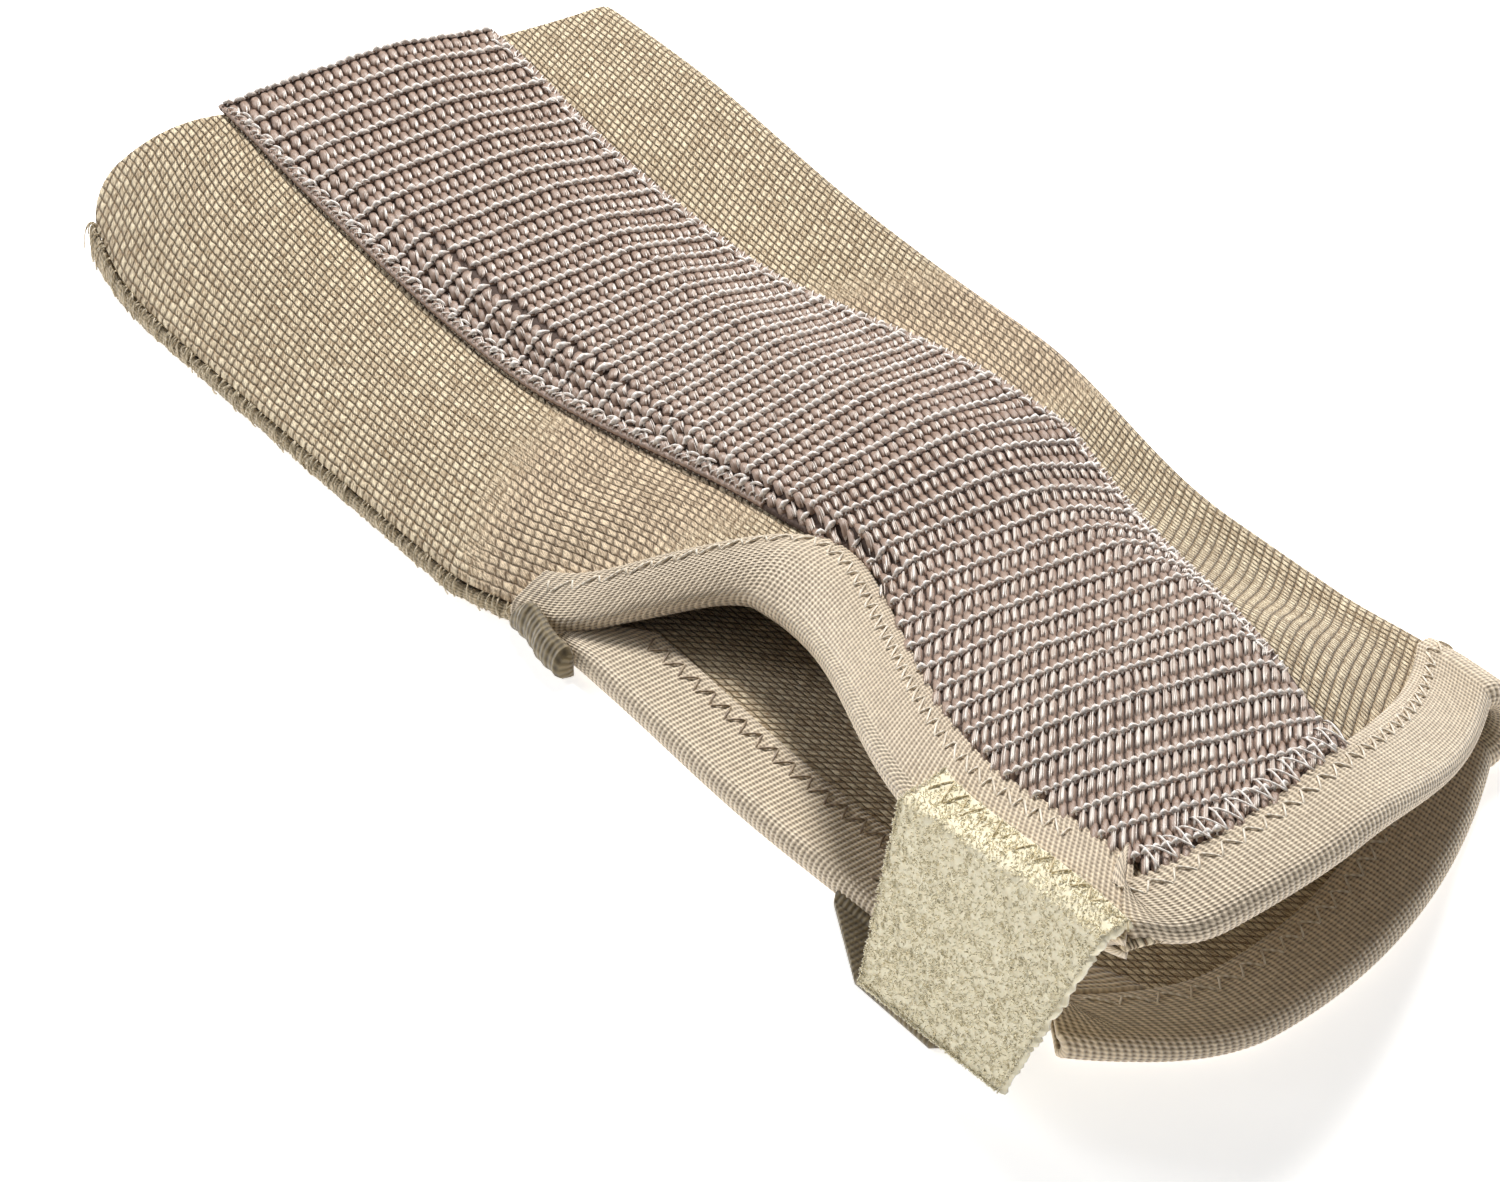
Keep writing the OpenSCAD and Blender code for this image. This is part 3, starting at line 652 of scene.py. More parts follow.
for k in range(3):
    p = np.linspace(-1, 1, 5)
    grow = 0.85 + 0.3 * hand + 0.13 * rng.normal(0, 1, (n, 1))
    off = (k - 1) * (0.16 + 0.05 * hand) + 0.04 * rng.normal(0, 1, (n, 1))
    slant = 0.45 + 0.08 * hand + 0.4 * step(124, 150, cell[:, :1])
    strand = along_band(cell, p * grow - 0.25 - 0.5 * hand, off - p * grow * slant,
                        1.03 - 0.06 * (k - 1) ** 2 + 0.14 * np.cos(p * 1.5))
    thick = 0.085 + 0.02 * (k == 1) + 0.015 * rng.normal(0, 1, (n, 1))
    strands.append(threads(strand, thick * np.array([0.4, 1, 1.1, 1, 0.4]), 4))
white_yarn = piece("pocket_band_binder_threads", *together(binder_threads, ticks))
painted_highlight_strands = piece("pocket_band_highlights", *together(*strands))

# The webbing's ground under the bundles, coloured near-black as painted shade in the gaps between them.
ground_painted_shade_cloth, shader, kit = new_material("pocket_ground_painted_shade", 0.8)
put, join, calc, blend, noise, pack, split, bump = kit
grain = noise(put("ShaderNodeUVMap", uv_map="weave").outputs[0], 2.4, 4)
join(blend(grain, (0.035, 0.02, 0.014), (0.13, 0.08, 0.062)), shader.inputs["Base Color"])
bump(grain, shader, 1.0, 0.0003)

mauve_yarn, shader, kit = new_material("pocket_mauve_yarn", 0.42, 0.15, 0.7)
put, join, calc, blend, noise, pack, split, bump = kit
spot = put("ShaderNodeTexCoord").outputs["Object"]
ox, oy, oz = split(spot)
lay = calc("ADD", calc("MULTIPLY", oy, 6500.0), calc("MULTIPLY", ox, 1800.0))
filament = noise(pack(calc("MULTIPLY", ox, 900.0), lay, oz), 1.0, 2)
cloud = noise(spot, 160.0, 3)
join(blend(calc("MULTIPLY_ADD", filament, 1.2, -0.15, clamp=True), (0.25, 0.15, 0.105),
           blend(cloud, (0.43, 0.3, 0.225), (0.54, 0.395, 0.31))), shader.inputs["Base Color"])
bump(filament, shader, 0.6, 0.0002)


def thread_material(name, light, dark, roughness):
    """Thread with plies twisted round each other, so many radians to the metre."""
    twist = 5000.0
    made, shader, kit = new_material(name, roughness, 0.2, 0.6)
    put, join, calc, blend, noise, pack, split, bump = kit
    ox, oy, oz = split(put("ShaderNodeTexCoord").outputs["Object"])
    level = calc("ADD", calc("MULTIPLY", ox, twist), calc("MULTIPLY", oy, twist * 1.2))
    ply = calc("SINE", calc("ADD", level, calc("MULTIPLY", oz, twist)))
    join(blend(calc("MULTIPLY_ADD", ply, 0.5, 0.5), dark, light), shader.inputs["Base Color"])
    bump(ply, shader, 0.5, 0.0001)
    return made


white_thread = thread_material("clear_thread", (1.0, 0.96, 0.92), (0.86, 0.77, 0.7), 0.36)
run = np.linspace(-0.9, 176, 420)
near_run = run[run < 111]
end_x = np.linspace(-0.6, -0.9, 90)
end_y = np.linspace(band_y0(-1.0) + 0.3, band_y1(-1.0) - 0.3, 90)
rolls = [threads(on_band(x, y, 0.42 + 0.05 * np.sin(5.5 * x))[None],
                 0.44 + 0.05 * np.sin(5.5 * x + 1), 8, 0.95)
         for x, y in ((near_run, band_y0(near_run) + 0.2), (run, band_y1(run) - 0.2), (end_x, end_y))]
selvedge = piece("pocket_band_selvedge", *together(*rolls))
highlight_yarn = thread_material("pocket_painted_highlight_yarn", (1.0, 0.93, 0.86), (0.68, 0.56, 0.48), 0.25)
for made, finish in ((selvedge, mauve_yarn), (band, ground_painted_shade_cloth), (bundle_yarn, mauve_yarn),
                     (white_yarn, white_thread), (painted_highlight_strands, highlight_yarn)):
    finish_piece(made, finish, "sleeve", "pocket_weave", "stay_pocket_band")


# ---- Bound edges ------------------------------------------------------------------------
# Ribbed elastic tape folded over three raw edges: the palm layer's thumb edge, the back
# layer's thumb edge, and the hand end all round. Each is held by a zigzag seam.
RIB, BEAD, MID = 0.78, 0.52, CLOTH / 2


def wrap(w, thick, inner):
    """Profile across a binding: distance in from the cloth's edge, and out from its face."""
    def spread(part):
        return np.broadcast_to(part, np.shape(w)[:-1] + part.shape[-1:])

    flap = np.linspace(1, 0, 9)[:-1]
    crown = thick * (1 - 0.35 * flap ** 10 - 0.16 * bell(0.74, 0.09, flap))
    bend = np.radians(np.linspace(90, 270, 13))
    far = np.where(bend <= np.pi, 0.65 + thick, 0.65 + inner)
    low = np.linspace(0, 1, 9)[1:]
    under = inner * (1 - 0.35 * low ** 10 - 0.16 * bell(0.74, 0.09, low))
    s = np.concatenate([spread(w * flap), spread(far * np.cos(bend)), spread(w * low)], -1)
    d = np.concatenate([spread(0.1 + crown), spread(-MID + far * np.sin(bend)), spread(-1.2 - under)], -1)
    return s, d


def palm_edge(u, s, d):
    x = 106.4 + u * (202.3 - 1.0 * np.maximum(s, 0) - 3.6 * np.clip(-s / 1.6, 0, 1) - 106.4)
    d = d - 0.25 * np.sign(d + MID) * step(0.93, 0.99, u)
    y, n = y_palm(x), palm_out(x, y_palm(x))
    outward = unit(stack(0.0, n[..., 2], -n[..., 1]))
    off = stack(x, y, z_palm(x, y)) + outward * s[..., None] + n * d[..., None]
    return np.where((s > 0)[..., None], palm_at(x, y + s, d), off)


def across_at(q, x):
    return np.where(q <= 1, y_back(x) + (y_fold(x) - y_back(x)) * q,
                    y_palm(x) + (y_fold(x) - y_palm(x)) * (3 - q))


def settle(q):
    x = np.full(np.shape(q), 200.0)
    for _ in range(6):
        y = across_at(q, x)
        x = np.where(q <= 1, x_back(y), x_palm(y))
    return x


def hand_x(q):
    mix = step(1, 2, q)
    round_fold = settle(q * 0 + 1) * (1 - mix) + settle(q * 0 + 2.0001) * mix
    return np.where((q > 1) & (q < 2), round_fold, settle(q))


def flap_w(q):
    y = across_at(q, hand_x(q))
    palm = 8 * np.sqrt(1 + (0.014 * np.maximum(y - 12, 0)) ** 2)
    back = 8 * np.sqrt(1 + (0.0158 * np.maximum(y - 20, 0) - 0.06 * np.maximum(20 - y, 0)) ** 2)
    mix = np.clip(q - 1, 0, 1)
    return back * (1 - mix) + palm * mix


def back_edge(u, s, d):
    q = np.maximum(s, 0) / (y_fold(STAY_END) - y_back(STAY_END))
    whole = hand_x(q) - flap_w(q) * (1 - 0.3 * np.clip(-s / 1.6, 0, 1)) - 116.1
    x = 116 + u * (73 + (whole - 73) * step(0.8, 1, u))
    y = y_back(x)
    off = stack(x, y + s, z_back(x, y) - d)
    return np.where((s > 0)[..., None], back_at(x, y + s, d), off)


def hand_edge(q, s, d):
    x = hand_x(q) - np.maximum(s, 0)
    turn = np.pi * (np.clip(q, 1, 2) - 1.5)
    round_fold = fold_at(x, turn, d)
    d = d + 0.3 * np.sign(d + MID) * step(2.93, 2.99, q)
    mitre = np.clip(1 - (q + 0.05) / 0.06, 0, 1) + np.clip((q - 2.94) / 0.06, 0, 1)
    y = across_at(q, x) + mitre * (np.maximum(s, 0) - np.where(q < 1, 0.45, -1.0))
    x = x - 1.6 * step(2.9, 3, q)
    skin = np.where((q <= 1)[..., None], back_at(x, y, d), palm_at(x, y, d))
    skin = np.where(((q > 1) & (q < 2))[..., None], round_fold, skin)
    return skin + stack(np.maximum(0, -s), 0.0, 0.0)


def even_stations(edge, start, stop, rib, per_rib=4):
    """Places along an edge, so many to each rib of the tape, with their distance along it."""
    u = np.linspace(start, stop, 800)
    line = edge(u, 0 * u, 0 * u + 0.5)
    run = np.concatenate([[0], np.cumsum(np.linalg.norm(np.diff(line, axis=0), axis=1))])
    n = int(run[-1] / rib) * per_rib + 1
    where = np.linspace(0, run[-1], n)
    return np.interp(where, run, u), where


def binding(name, edge, start, stop, width, inner=None):
    u, run = even_stations(edge, start, stop, RIB)
    w = width(u)[:, None]
    inner = np.ones_like(w) if inner is None else inner(u)[:, None]
    s1, d1 = wrap(w, 1.0, inner)
    s0, d0 = wrap(w, 0 * inner + 0.02, 0 * inner + 0.02)
    ribs = 0.05 * np.cos(2 * np.pi * run / RIB)[:, None]
    face = np.sign(d1 + MID)
    turning = s1 < 0
    s1 = np.where(turning, s1 - ribs, s1)
    d1 = np.where(turning, d1, d1 + ribs * face)
    uu = np.broadcast_to(u[:, None], s1.shape)
    outer, lining = edge(uu, s1, d1), edge(uu, s0, d0)
    step_v = np.linalg.norm(np.diff(outer, axis=1), axis=2)
    v = np.concatenate([np.zeros((len(u), 1)), np.cumsum(step_v, 1)], 1)
    v = v * (26.0 / v[:, -1:])
    uv = np.stack(np.broadcast_arrays(run[:, None], v), -1)
    return piece(name, *sheet(outer, lining, uv, bulge=0.12))


ribs = bpy.data.node_groups.new("ribbed_tape", "ShaderNodeTree")
ribs.interface.new_socket("Vector", in_out="INPUT", socket_type="NodeSocketVector")
for label in ("Height", "Tone"):
    ribs.interface.new_socket(label, in_out="OUTPUT", socket_type="NodeSocketFloat")
put, join, calc, blend, noise, pack, split, bump = node_kit(ribs)
give, take = put("NodeGroupInput"), put("NodeGroupOutput")
ru, rv, _ = split(give.outputs[0])
bead_row = calc("FLOOR", calc("DIVIDE", rv, BEAD))
wave_u = calc("COSINE", calc("MULTIPLY", ru, 2 * math.pi / RIB))
wave_v = calc("COSINE", calc("ADD", calc("MULTIPLY", rv, 2 * math.pi / BEAD), calc("MULTIPLY", ru, 0.5)))
join(calc("ADD", calc("MULTIPLY_ADD", wave_u, 0.3, 0.5), calc("MULTIPLY", wave_v, 0.2)),
     take.inputs["Height"])
speck = put("ShaderNodeTexWhiteNoise", noise_dimensions="2D")
join(pack(bead_row, calc("FLOOR", calc("ADD", calc("DIVIDE", ru, RIB), 0.5))), speck.inputs["Vector"])
join(calc("ADD", calc("MULTIPLY", speck.outputs["Value"], 0.6),
          calc("MULTIPLY", noise(give.outputs[0], 0.5, 3), 0.5)), take.inputs["Tone"])


def tape_material(name, light, dark, roughness=0.5):
    made, shader, kit = new_material(name, roughness, 0.3)
    put, join, calc, blend, noise, pack, split, bump = kit
    node = put("ShaderNodeGroup", node_tree=ribs)
    join(put("ShaderNodeUVMap", uv_map="weave").outputs[0], node.inputs[0])
    # Painted shade: the colour darkens into the grooves between the ribs and beads, mixed with random tone.
    painted_shading_and_tone = calc("MULTIPLY", calc("POWER", node.outputs["Height"], 0.8),
                 calc("MULTIPLY_ADD", node.outputs["Tone"], 0.6, 0.75), clamp=True)
    join(blend(painted_shading_and_tone, dark, light), shader.inputs["Base Color"])
    bump(node.outputs["Height"], shader, 0.8, 0.00022)
    return made


tape_cloth = tape_material("binding_elastic", (0.95, 0.8, 0.6), (0.19, 0.13, 0.075))


def palm_width(u):
    x = 106.4 + u * 96.8
    return (bind_edge(x) - y_palm(x)) * (0.5 + 0.5 * step(-0.06, 0.07, u))


palm_binding = binding("thumb_binding_palm_tape", palm_edge, -0.055, 1, palm_width,
                       inner=lambda u: step(106, 118, 106.4 + u * 96.8) + 0.05)
back_binding = binding("thumb_binding_back_tape", back_edge, -0.1, 1,
                       lambda u: 8 - 4.5 * (1 - step(-0.1, 0.0, u)))
hand_binding = binding("hand_end_binding_tape", hand_edge, -0.05, 3, flap_w,
                       inner=lambda q: 1 - 0.7 * step(2.85, 2.98, q))
finish_piece(palm_binding, tape_cloth, "sleeve", "binding_elastic", "thumb_binding_palm")
finish_piece(back_binding, tape_cloth, "sleeve", "binding_elastic", "thumb_binding_back")
finish_piece(hand_binding, tape_cloth, "sleeve", "binding_elastic", "hand_end_binding")


def zigzag(edge, start, stop, width, pitch, near, far, lay, sign=1):
    """Zigzag seam thread: each slanting stitch rises out of the cloth and goes back in."""
    u, run = even_stations(edge, start, stop, pitch, 2)
    p = np.linspace(0, 1, 7)
    uu = u[:-1, None] + (u[1:] - u[:-1])[:, None] * p
    odd = (np.arange(len(uu)) % 2)[:, None]
    s = width(uu) - (near + (far - near) * np.where(odd == 0, p, 1 - p))
    dip = 0.32 * np.abs(2 * p - 1) ** 4
    d = sign * (lay - dip) + (0 if sign > 0 else -CLOTH) + 0 * s
    return threads(edge(uu, s, d), 0.13 * np.array([0.8, 1, 1, 1, 1, 1, 0.8]))


pale_thread = thread_material("beige_thread", (0.97, 0.89, 0.76), (0.7, 0.6, 0.46), 0.4)
brown_thread = thread_material("dark_thread", (0.4, 0.3, 0.19), (0.24, 0.17, 0.11), 0.5)
palm_seam = piece("thumb_binding_palm_seam",
                  *zigzag(palm_edge, -0.04, 0.9, palm_width, 2.6, 1.2, 3.0, 1.13))
finish_piece(palm_seam, pale_thread, "sleeve", "beige_thread", "thumb_binding_palm_stitches")
back_seam = piece("thumb_binding_back_seam", *zigzag(
    back_edge, 0.0, 0.94, lambda u: 0 * u + 8, 3.0, 1.0, 3.2, 1.16, sign=-1))
finish_piece(back_seam, brown_thread, "sleeve", "dark_thread", "thumb_binding_back_stitches")
hand_seam = piece("hand_end_binding_seam", *together(
    zigzag(hand_edge, 0.04, 2.94, flap_w, 3.0, 1.2, 3.2, 1.13),
    zigzag(hand_edge, 0.04, 2.94, flap_w, 3.0, 1.2, 3.2, 1.16, sign=-1)))
finish_piece(hand_seam, pale_thread, "sleeve", "beige_thread", "hand_end_binding_stitches")


# ---- Pocket seams -----------------------------------------------------------------------
# White thread holds the band: running stitches inside both edges, and long slanting loops
# over its hand end, which reach onto the bindings.
runs = []
for inset, first, last_x in ((1.3, 2, 108), (1.5, 2, 176)):
    x = np.arange(first, last_x, 2.7)
    p = np.linspace(0, 1, 6)
    xx = x[:, None] + 1.9 * p
    edge_y = band_y0(xx) + inset if inset == 1.3 else band_y1(xx) - inset
    yy = edge_y + 0.35 * (p - 0.5) + rng.normal(0, 0.12, (len(x), 1))
    runs.append(threads(on_band(xx, yy, 1.0 + 0.28 * np.sin(np.pi * p) + 0 * xx),
                        0.17 * np.array([0.6, 1, 1.1, 1.1, 1, 0.6])))
for side, first, last_x in ((-1, 0.5, 112), (1, 0.5, 180)):
    x = np.arange(first, last_x, 1.15)[:, None]
    x = x + rng.normal(0, 0.15, x.shape)
    p = np.linspace(0, 1, 8)
    xx = x + (0.75 + 0.3 * rng.random(x.shape)) * (p - 0.5)
    edge_y = band_y0(xx) if side < 0 else band_y1(xx)
    yy = edge_y + side * (0.18 - (1.1 + 0.3 * rng.random(x.shape)) * p)
    dd = 0.05 + 1.0 * step(0, 0.3, p) + 0.12 * np.sin(np.pi * p)
    past_edge = np.minimum(yy - band_y0(xx), 0) + np.maximum(yy - band_y1(xx), 0)
    lie = on_band(xx, np.clip(yy, band_y0(xx) + 0.01, band_y1(xx) - 0.01), dd + 0 * xx)
    runs.append(threads(lie + stack(0, past_edge, 0 * xx), 0.1, 5))
side_seams = piece("pocket_side_seams", *together(*runs))
finish_piece(side_seams, white_thread, "sleeve", "clear_thread", "pocket_side_stitches")

f = np.linspace(0.02, 0.985, 27)
ex = np.full_like(f, 190.0)
for _ in range(8):
    ex = band_end(band_y0(ex) + (band_y1(ex) - band_y0(ex)) * f)
ey = band_y0(ex) + (band_y1(ex) - band_y0(ex)) * f
p = np.linspace(0, 1, 8)
back_in = np.where(np.arange(27) % 2 == 0, 3.4, 3.0)[:, None]
lean = np.where(np.arange(27) % 2 == 0, 0.55, -0.55)[:, None]
lx = ex[:, None] + 0.9 - (back_in + 0.9) * p
ly = ey[:, None] + lean * (2 * p - 1) + rng.normal(0, 0.12, (27, 1))
over = 1.2 + 0.25 * np.sin(np.pi * p) - 0.5 * p ** 8
onto = palm_at(lx, ly, np.maximum(band_rise(lx, ly) * step(0.0, 0.35, p), 0.1) + over)
end_seam = piece("pocket_end_seam", *threads(onto, 0.12 * np.array([0.7, 1, 1, 1, 1, 1, 1, 0.7])))
finish_piece(end_seam, white_thread, "sleeve", "clear_thread", "pocket_end_stitches")


# ---- Side seam --------------------------------------------------------------------------
# The panel's two raw edges are overlocked together: a lumpy olive ridge wrapped in loops of
# thread. Where the thumb opening starts, it runs on as a short ridge of olive tape.
RIDGE_N, ROUND_N = 520, 14
sx = np.linspace(2.2, 106.5, RIDGE_N)[:, None]
ring = np.linspace(0, 2 * np.pi, ROUND_N + 1)[:-1]
high = (0.76 + 0.2 * bell(3, 18, sx)) * z_edge(sx) - 0.2
slow = np.sin(sx * 0.31) + np.sin(sx * 0.83 + 1) + np.sin(sx * 1.9 + 2)
lump = (1 + 0.12 * np.sin(sx * 4.3 + 2 * np.sin(sx * 0.7)) * np.cos(ring * 2 + sx) + 0.06 * slow
        + rng.normal(0, 0.09, (RIDGE_N, ROUND_N)))
taper = np.clip(np.minimum(sx - 1.8, 107 - sx) / 2.0, 0.3, 1)
ridge = stack(sx + 0 * lump, y_side(sx) + 1.6 * bell(1.5, 2.2, sx) - 0.3 + 0.66 * taper * lump * np.cos(ring),
              0.1 + high * 0.5 + (high * 0.5 - 0.02) * taper * np.minimum(lump, 1.1) * np.sin(ring))
ridge[..., 2] = np.maximum(ridge[..., 2], 0.04)
index = np.arange(RIDGE_N * ROUND_N).reshape(RIDGE_N, ROUND_N)
a, b = index[:-1], index[1:]
seam_faces = [np.stack([a, np.roll(a, -1, 1), np.roll(b, -1, 1), b], -1).reshape(-1, 4),
              index[:1, ::-1], index[-1:]]
seam_uv = np.stack(np.broadcast_arrays(sx, ring * 1.2), -1).reshape(-1, 2)
seam_ridge = piece("side_seam_ridge", ridge.reshape(-1, 3), seam_faces, seam_uv)
n = 150
at = np.sort(rng.uniform(4.0, 105.5, (n, 1)), 0)
q = np.linspace(0, 1, 9)
ang = np.pi * (0.12 + 0.1 * rng.normal(0, 1, (n, 1)) + (0.85 + 0.12 * rng.normal(0, 1, (n, 1))) * q)
hh = (0.78 + 0.2 * bell(3, 18, at)) * z_edge(at)
out_by = 0.86 + 0.13 * rng.normal(0, 1, (n, 1))
loop_lines = stack(at + rng.normal(0.6, 0.9, (n, 1)) * (q - 0.5), y_side(at) - 0.3 + out_by * np.cos(ang),
                   np.maximum(0.12, 0.1 + hh * 0.5 + (hh * 0.5 + 0.1) * np.sin(ang)))
seam_loops = piece("side_seam_loops", *threads(loop_lines, 0.08 + 0.03 * rng.random((n, 1)), 5))
olive_seam = tape_material("overlock", (0.6, 0.48, 0.31), (0.16, 0.12, 0.06), 0.75)
olive_thread = thread_material("overlock_thread", (0.74, 0.63, 0.45), (0.42, 0.34, 0.21), 0.38)
finish_piece(seam_ridge, olive_seam, "sleeve", "overlock", "side_seam_overlock")
finish_piece(seam_loops, olive_thread, "sleeve", "overlock", "side_seam_overlock")

tx = 101.5 + np.linspace(0, 11.5, 47)[:, None]
ty = np.linspace(0, 1, 9)
swell = np.sqrt(np.clip(np.minimum((tx - 101) / 3, (114 - tx) / 1.5), 0.04, 1))
flap_y = (y_side(tx) - 1.0 - 1.9 * swell * np.sin(np.pi * (0.12 + 0.88 * ty))
          - 1.6 * step(103, 110, tx) + 0.08 * np.sin(tx * 3))
flap_top = stack(tx, flap_y, 0.35 + (4.3 - 0.1 * (tx - 107)) * swell * (1 - np.cos(np.pi * ty)) / 2)
flap_low = stack(tx, y_side(tx) - 0.7 - 1.4 * step(103, 110, tx) + 0 * ty,
                 0.2 + (4.1 - 0.1 * (tx - 107)) * swell * ty)
flap_uv = np.stack(np.broadcast_arrays(tx, ty * 2.6), -1)
end_flap = piece("seam_end_flap", *sheet(flap_top, flap_low, flap_uv, bulge=0.15))
olive_tape = tape_material("binding_tape", (0.25, 0.19, 0.095), (0.07, 0.05, 0.022), 0.6)
finish_piece(end_flap, olive_tape, "sleeve", "binding_tape", "seam_end_tape")


# ---- Loop tab ---------------------------------------------------------------------------
# A tab of cream loop pile, sewn flat on the web's edge and hanging down from it. Its edges
# are cut and fray a little. Gold thread holds it.
TAB_X, TAB_W, TILT = 171.0, 31.0, math.radians(5.67085)
SEWN, BEND = 3.4, 3.2  # lengths of the sewn strip and of the bend next to it
down = np.array([0.9272 * math.sin(TILT), -0.3746, -0.9272 * math.cos(TILT)])
wide = np.array([math.cos(TILT), 0, math.sin(TILT)])
fold_from = np.array([TAB_X, float(y_palm(TAB_X)) - 2.75, float(z_palm(TAB_X, y_palm(TAB_X))) + 1.3])
out_face = np.cross(wide, down)
out_face = out_face if out_face[1] < 0 else -out_face


def tab_line(across, m):
    """Middle of the tab at a share across it and m millimetres along it from the sewn edge."""
    x = TAB_X + 0.3 + (TAB_W - 0.6) * across
    sewn = palm_at(x, y_palm(x) + (SEWN - 2.2 * across) * (1 - np.minimum(m, SEWN) / SEWN),
                   1.85 + 0 * x * m)
    edge_in = palm_at(x + 0 * m, y_palm(x), 1.85 + 0 * x * m)
    hang = 0.96 * np.clip(m - (SEWN + BEND), 0, 20.6)
    left, right = 0.3 + 1.6 * hang / 20.4, 30.7 - 7.3 * hang / 20.8
    fold = fold_from + wide * (left + (right - left) * across)[..., None]
    tail = fold + down * (hang * (1 + 0.02 * across))[..., None]
    over = np.clip((m - SEWN) / BEND, 0, 1)[..., None]
    lifted = fold + np.array([0, 0.2, 0.45])
    bend = (1 - over) ** 2 * edge_in + 2 * over * (1 - over) * lifted + over ** 2 * fold
    hanging = np.where((m >= SEWN + BEND)[..., None], tail, bend)
    return np.where((m <= SEWN)[..., None], sewn, hanging)


def tab_out(across, m):
    e = 0.02
    along = tab_line(across, m + 0.3) - tab_line(across, m - 0.3)
    side = tab_line(across + e, m) - tab_line(across - e, m)
    return -unit(np.cross(along, side))


ta = np.linspace(0, 1, 79)
tm = np.linspace(0.15, 26.8, 73)[:, None]
frame_a, frame_m = np.broadcast_arrays(ta, tm)
fray = 0.2 * rng.normal(0, 1, frame_a.shape) * ((frame_a == 0) | (frame_a == 1) | (frame_m == tm[-1])) / 31
core, outward = tab_line(np.clip(frame_a + fray, -0.02, 1.02), frame_m), tab_out(frame_a, frame_m)
if outward[40, 40] @ out_face < 0:
    outward = -outward
rough = 0.05 * rng.normal(0, 1, frame_a.shape)
tab_uv = np.stack([frame_a * 30, frame_m], -1)
tab_cloth = piece("loop_tab_cloth", *sheet(core + outward * (0.45 + rough)[..., None],
                                           core - outward * 0.7, tab_uv, bulge=0.25))
n = 9800
pa, pm = rng.random(n), 0.2 + 26.6 * rng.random(n)
edge_share = rng.random(n) < 0.16
pa = np.where(edge_share & (rng.random(n) < 0.5), np.round(pa), pa)
pm = np.where(edge_share & (pa > 0) & (pa < 1), 26.7, pm)
root, grow = tab_line(pa, pm), tab_out(pa, pm)
if (grow[0] @ out_face if pm[0] > 7 else grow[0, 2]) < 0:
    grow = -grow
lean_to = unit(rng.normal(0, 1, (n, 3)) + 0.2 * grow)
p = np.linspace(0, 1, 4)[None, :, None]
rise_up = 0.06 + 0.16 * rng.random((n, 1, 1))
tuft = (root[:, None] + grow[:, None] * (0.42 + rise_up * np.sin(p * 2.2))
        + lean_to[:, None] * (0.4 * p * (0.5 + rise_up)))
pile = piece("loop_tab_pile", *threads(tuft, 0.06, 3))
pile_cloth, shader, kit = new_material("loop_pile", 0.75, 0.6)
put, join, calc, blend, noise, pack, split, bump = kit
spot = put("ShaderNodeTexCoord").outputs["Object"]
fuzz = noise(spot, 2600.0, 3)
join(blend(calc("MULTIPLY_ADD", fuzz, 1.8, -0.4, clamp=True), (0.93, 0.82, 0.56), (1.0, 0.95, 0.74)),
     shader.inputs["Base Color"])
bump(fuzz, shader, 0.2, 0.0002)
for made in (tab_cloth, pile):
    finish_piece(made, pile_cloth, None, "loop_pile", "loop_tab", "loop_tab_sewn_end")
    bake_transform(made)

u = np.linspace(0.03, 0.95, 11)[:, None]
p = np.linspace(0, 1, 6)
zig = []
for first, second in ((0.5, 3.1), (3.1, 0.5)):
    share = u + (0.045 if first > second else 0) + 0.04 * p
    x = TAB_X + 0.3 + 30.4 * share
    s = (first + (second - first) * p) * (1 - 0.62 * share)
    lift = 2.3 + 0.14 * np.sin(np.pi * p) + 0.08 * rng.normal(0, 1, x[:, :1].shape) + 0 * x
    zig.append(threads(palm_at(x, y_palm(x) + s, lift), 0.11))
tab_seam = piece("loop_tab_seam", *together(*zig))
gold_thread = thread_material("gold_thread", (0.84, 0.72, 0.46), (0.6, 0.48, 0.26), 0.5)
finish_piece(tab_seam, gold_thread, "sleeve", "gold_thread", "loop_tab_stitches")


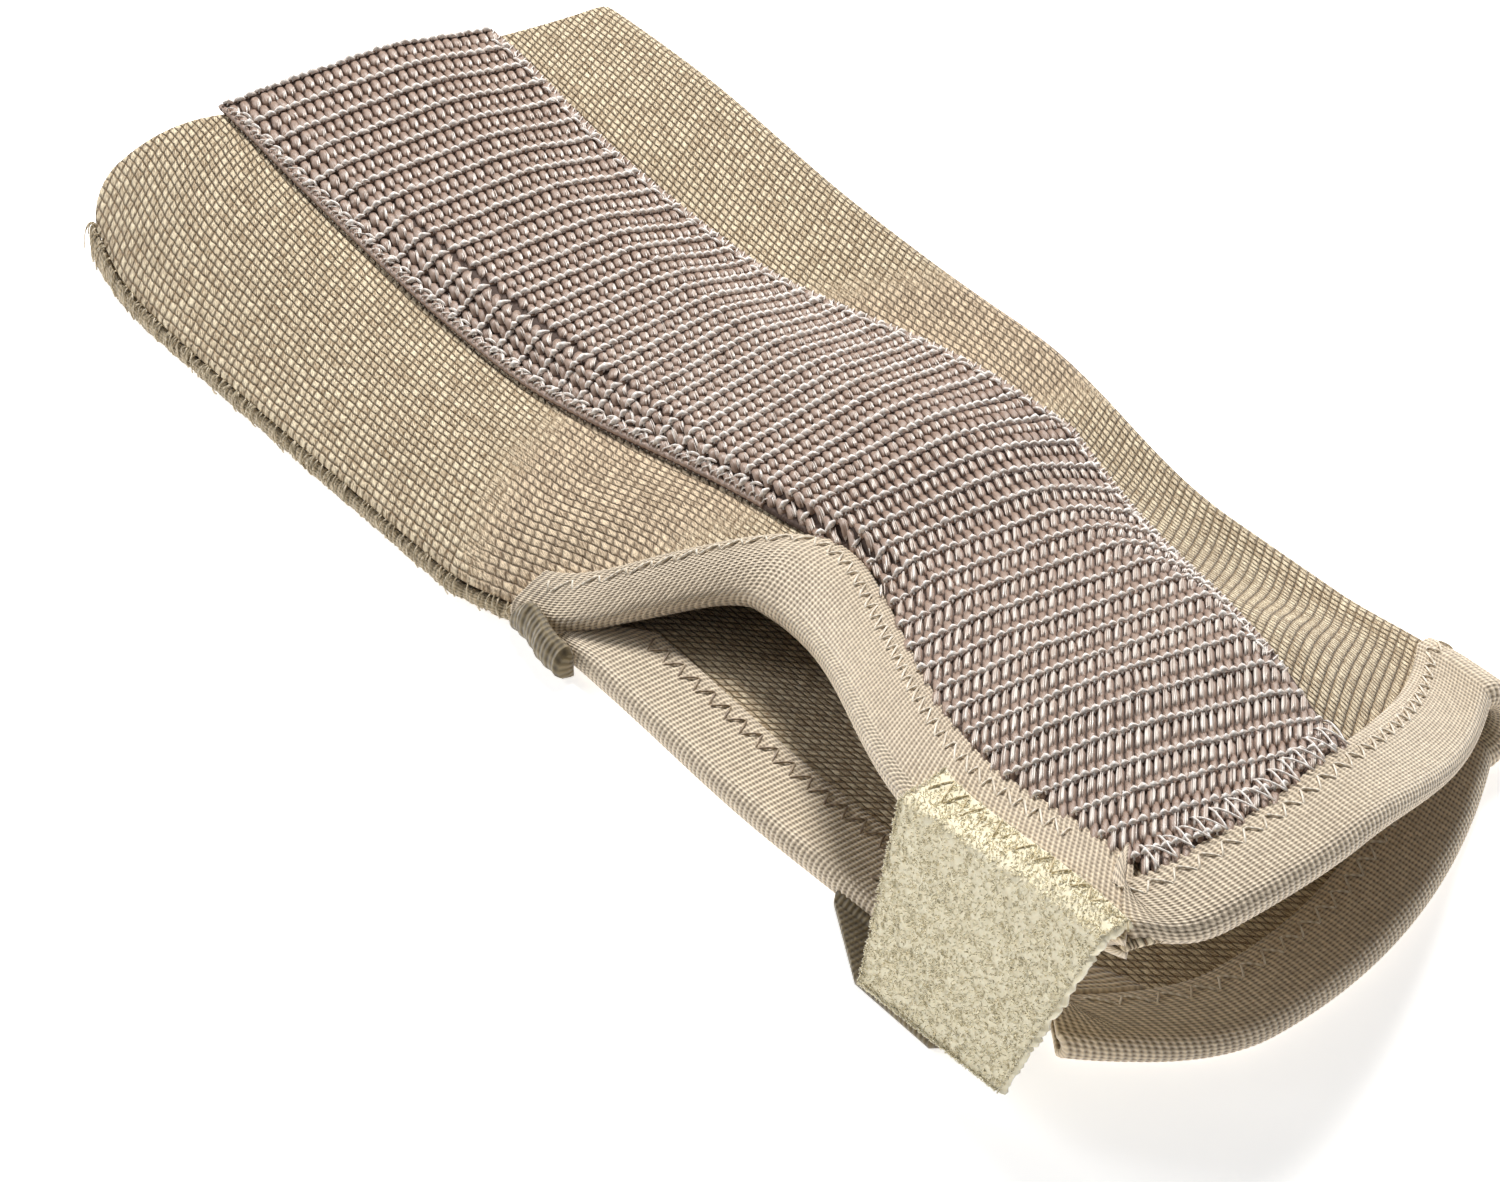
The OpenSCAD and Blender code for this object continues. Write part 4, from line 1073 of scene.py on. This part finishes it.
# ---- Hook tab ---------------------------------------------------------------------------
# A short olive tape with hooks, sewn under the back layer's thumb edge. It lies on the table.
hy = np.linspace(0, 1, 17)[:, None]
hx = np.linspace(0, 1, 109)
y_out = -2.05 - 6.45 * hy
narrow = np.clip((hy - 0.1) / 0.9, 0, 1)
from_x, to_x = 161 + 11 * narrow, 188 - 4 * narrow
gx = from_x + (to_x - from_x) * hx
wave = 0.05 * np.cos(2 * np.pi * gx / 0.9)
hook_top = stack(gx, y_out + 0 * gx, 1.2 + wave - 0.2 * hy ** 4 + 0.7 * (1 - step(0, 0.14, hy)))
hook_low = stack(gx, y_out + 0 * gx, 0.12 + 0 * gx)
hook_uv = np.stack(np.broadcast_arrays(gx, 5.5 * hy), -1)
hook_cloth = piece("hook_tab_tape", *sheet(hook_top, hook_low, hook_uv, bulge=0.1))
finish_piece(hook_cloth, olive_tape, "hook_tab", "hook_tape", "hook_tab")
x = 163 + 3 * np.arange(8)[:, None]
p = np.linspace(0, 1, 5)
hook_lines = back_at(x + 1.8 * p, y_back(x) + 1 + 1.4 * p, -CLOTH - 1.35 + 0 * x * p)
hook_seam = piece("hook_tab_seam", *threads(hook_lines, 0.15))
finish_piece(hook_seam, brown_thread, "sleeve", "dark_thread", "hook_tab_stitches")


# ---- Stay -------------------------------------------------------------------------------
# A bent aluminium strip inside the pocket, with both ends dipped in soft pale vinyl.
metal, shader, kit = new_material("stay_metal", 0.34)
put, join, calc, blend, noise, pack, split, bump = kit
shader.inputs["Metallic"].default_value = 1.0
ox, oy, oz = split(put("ShaderNodeTexCoord").outputs["Object"])
brushed = noise(pack(calc("MULTIPLY", ox, 40.0), calc("MULTIPLY", oy, 4000.0), oz), 1.0, 3)
join(blend(brushed, (0.6, 0.61, 0.63), (0.82, 0.83, 0.85)), shader.inputs["Base Color"])
join(calc("MULTIPLY_ADD", brushed, 0.25, 0.25), shader.inputs["Roughness"])
vinyl, shader, kit = new_material("stay_vinyl", 0.45)
put, join, calc, blend, noise, pack, split, bump = kit
mottle = noise(put("ShaderNodeTexCoord").outputs["Object"], 400.0, 3)
join(blend(mottle, (0.74, 0.71, 0.62), (0.84, 0.81, 0.73)), shader.inputs["Base Color"])
for node, finish in (("stay", metal), ("stay_tip_forearm", vinyl), ("stay_tip_hand", vinyl)):
    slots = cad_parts[node].material_slots
    for slot in slots:
        slot.material = finish
    if not slots:
        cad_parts[node].data.materials.append(finish)
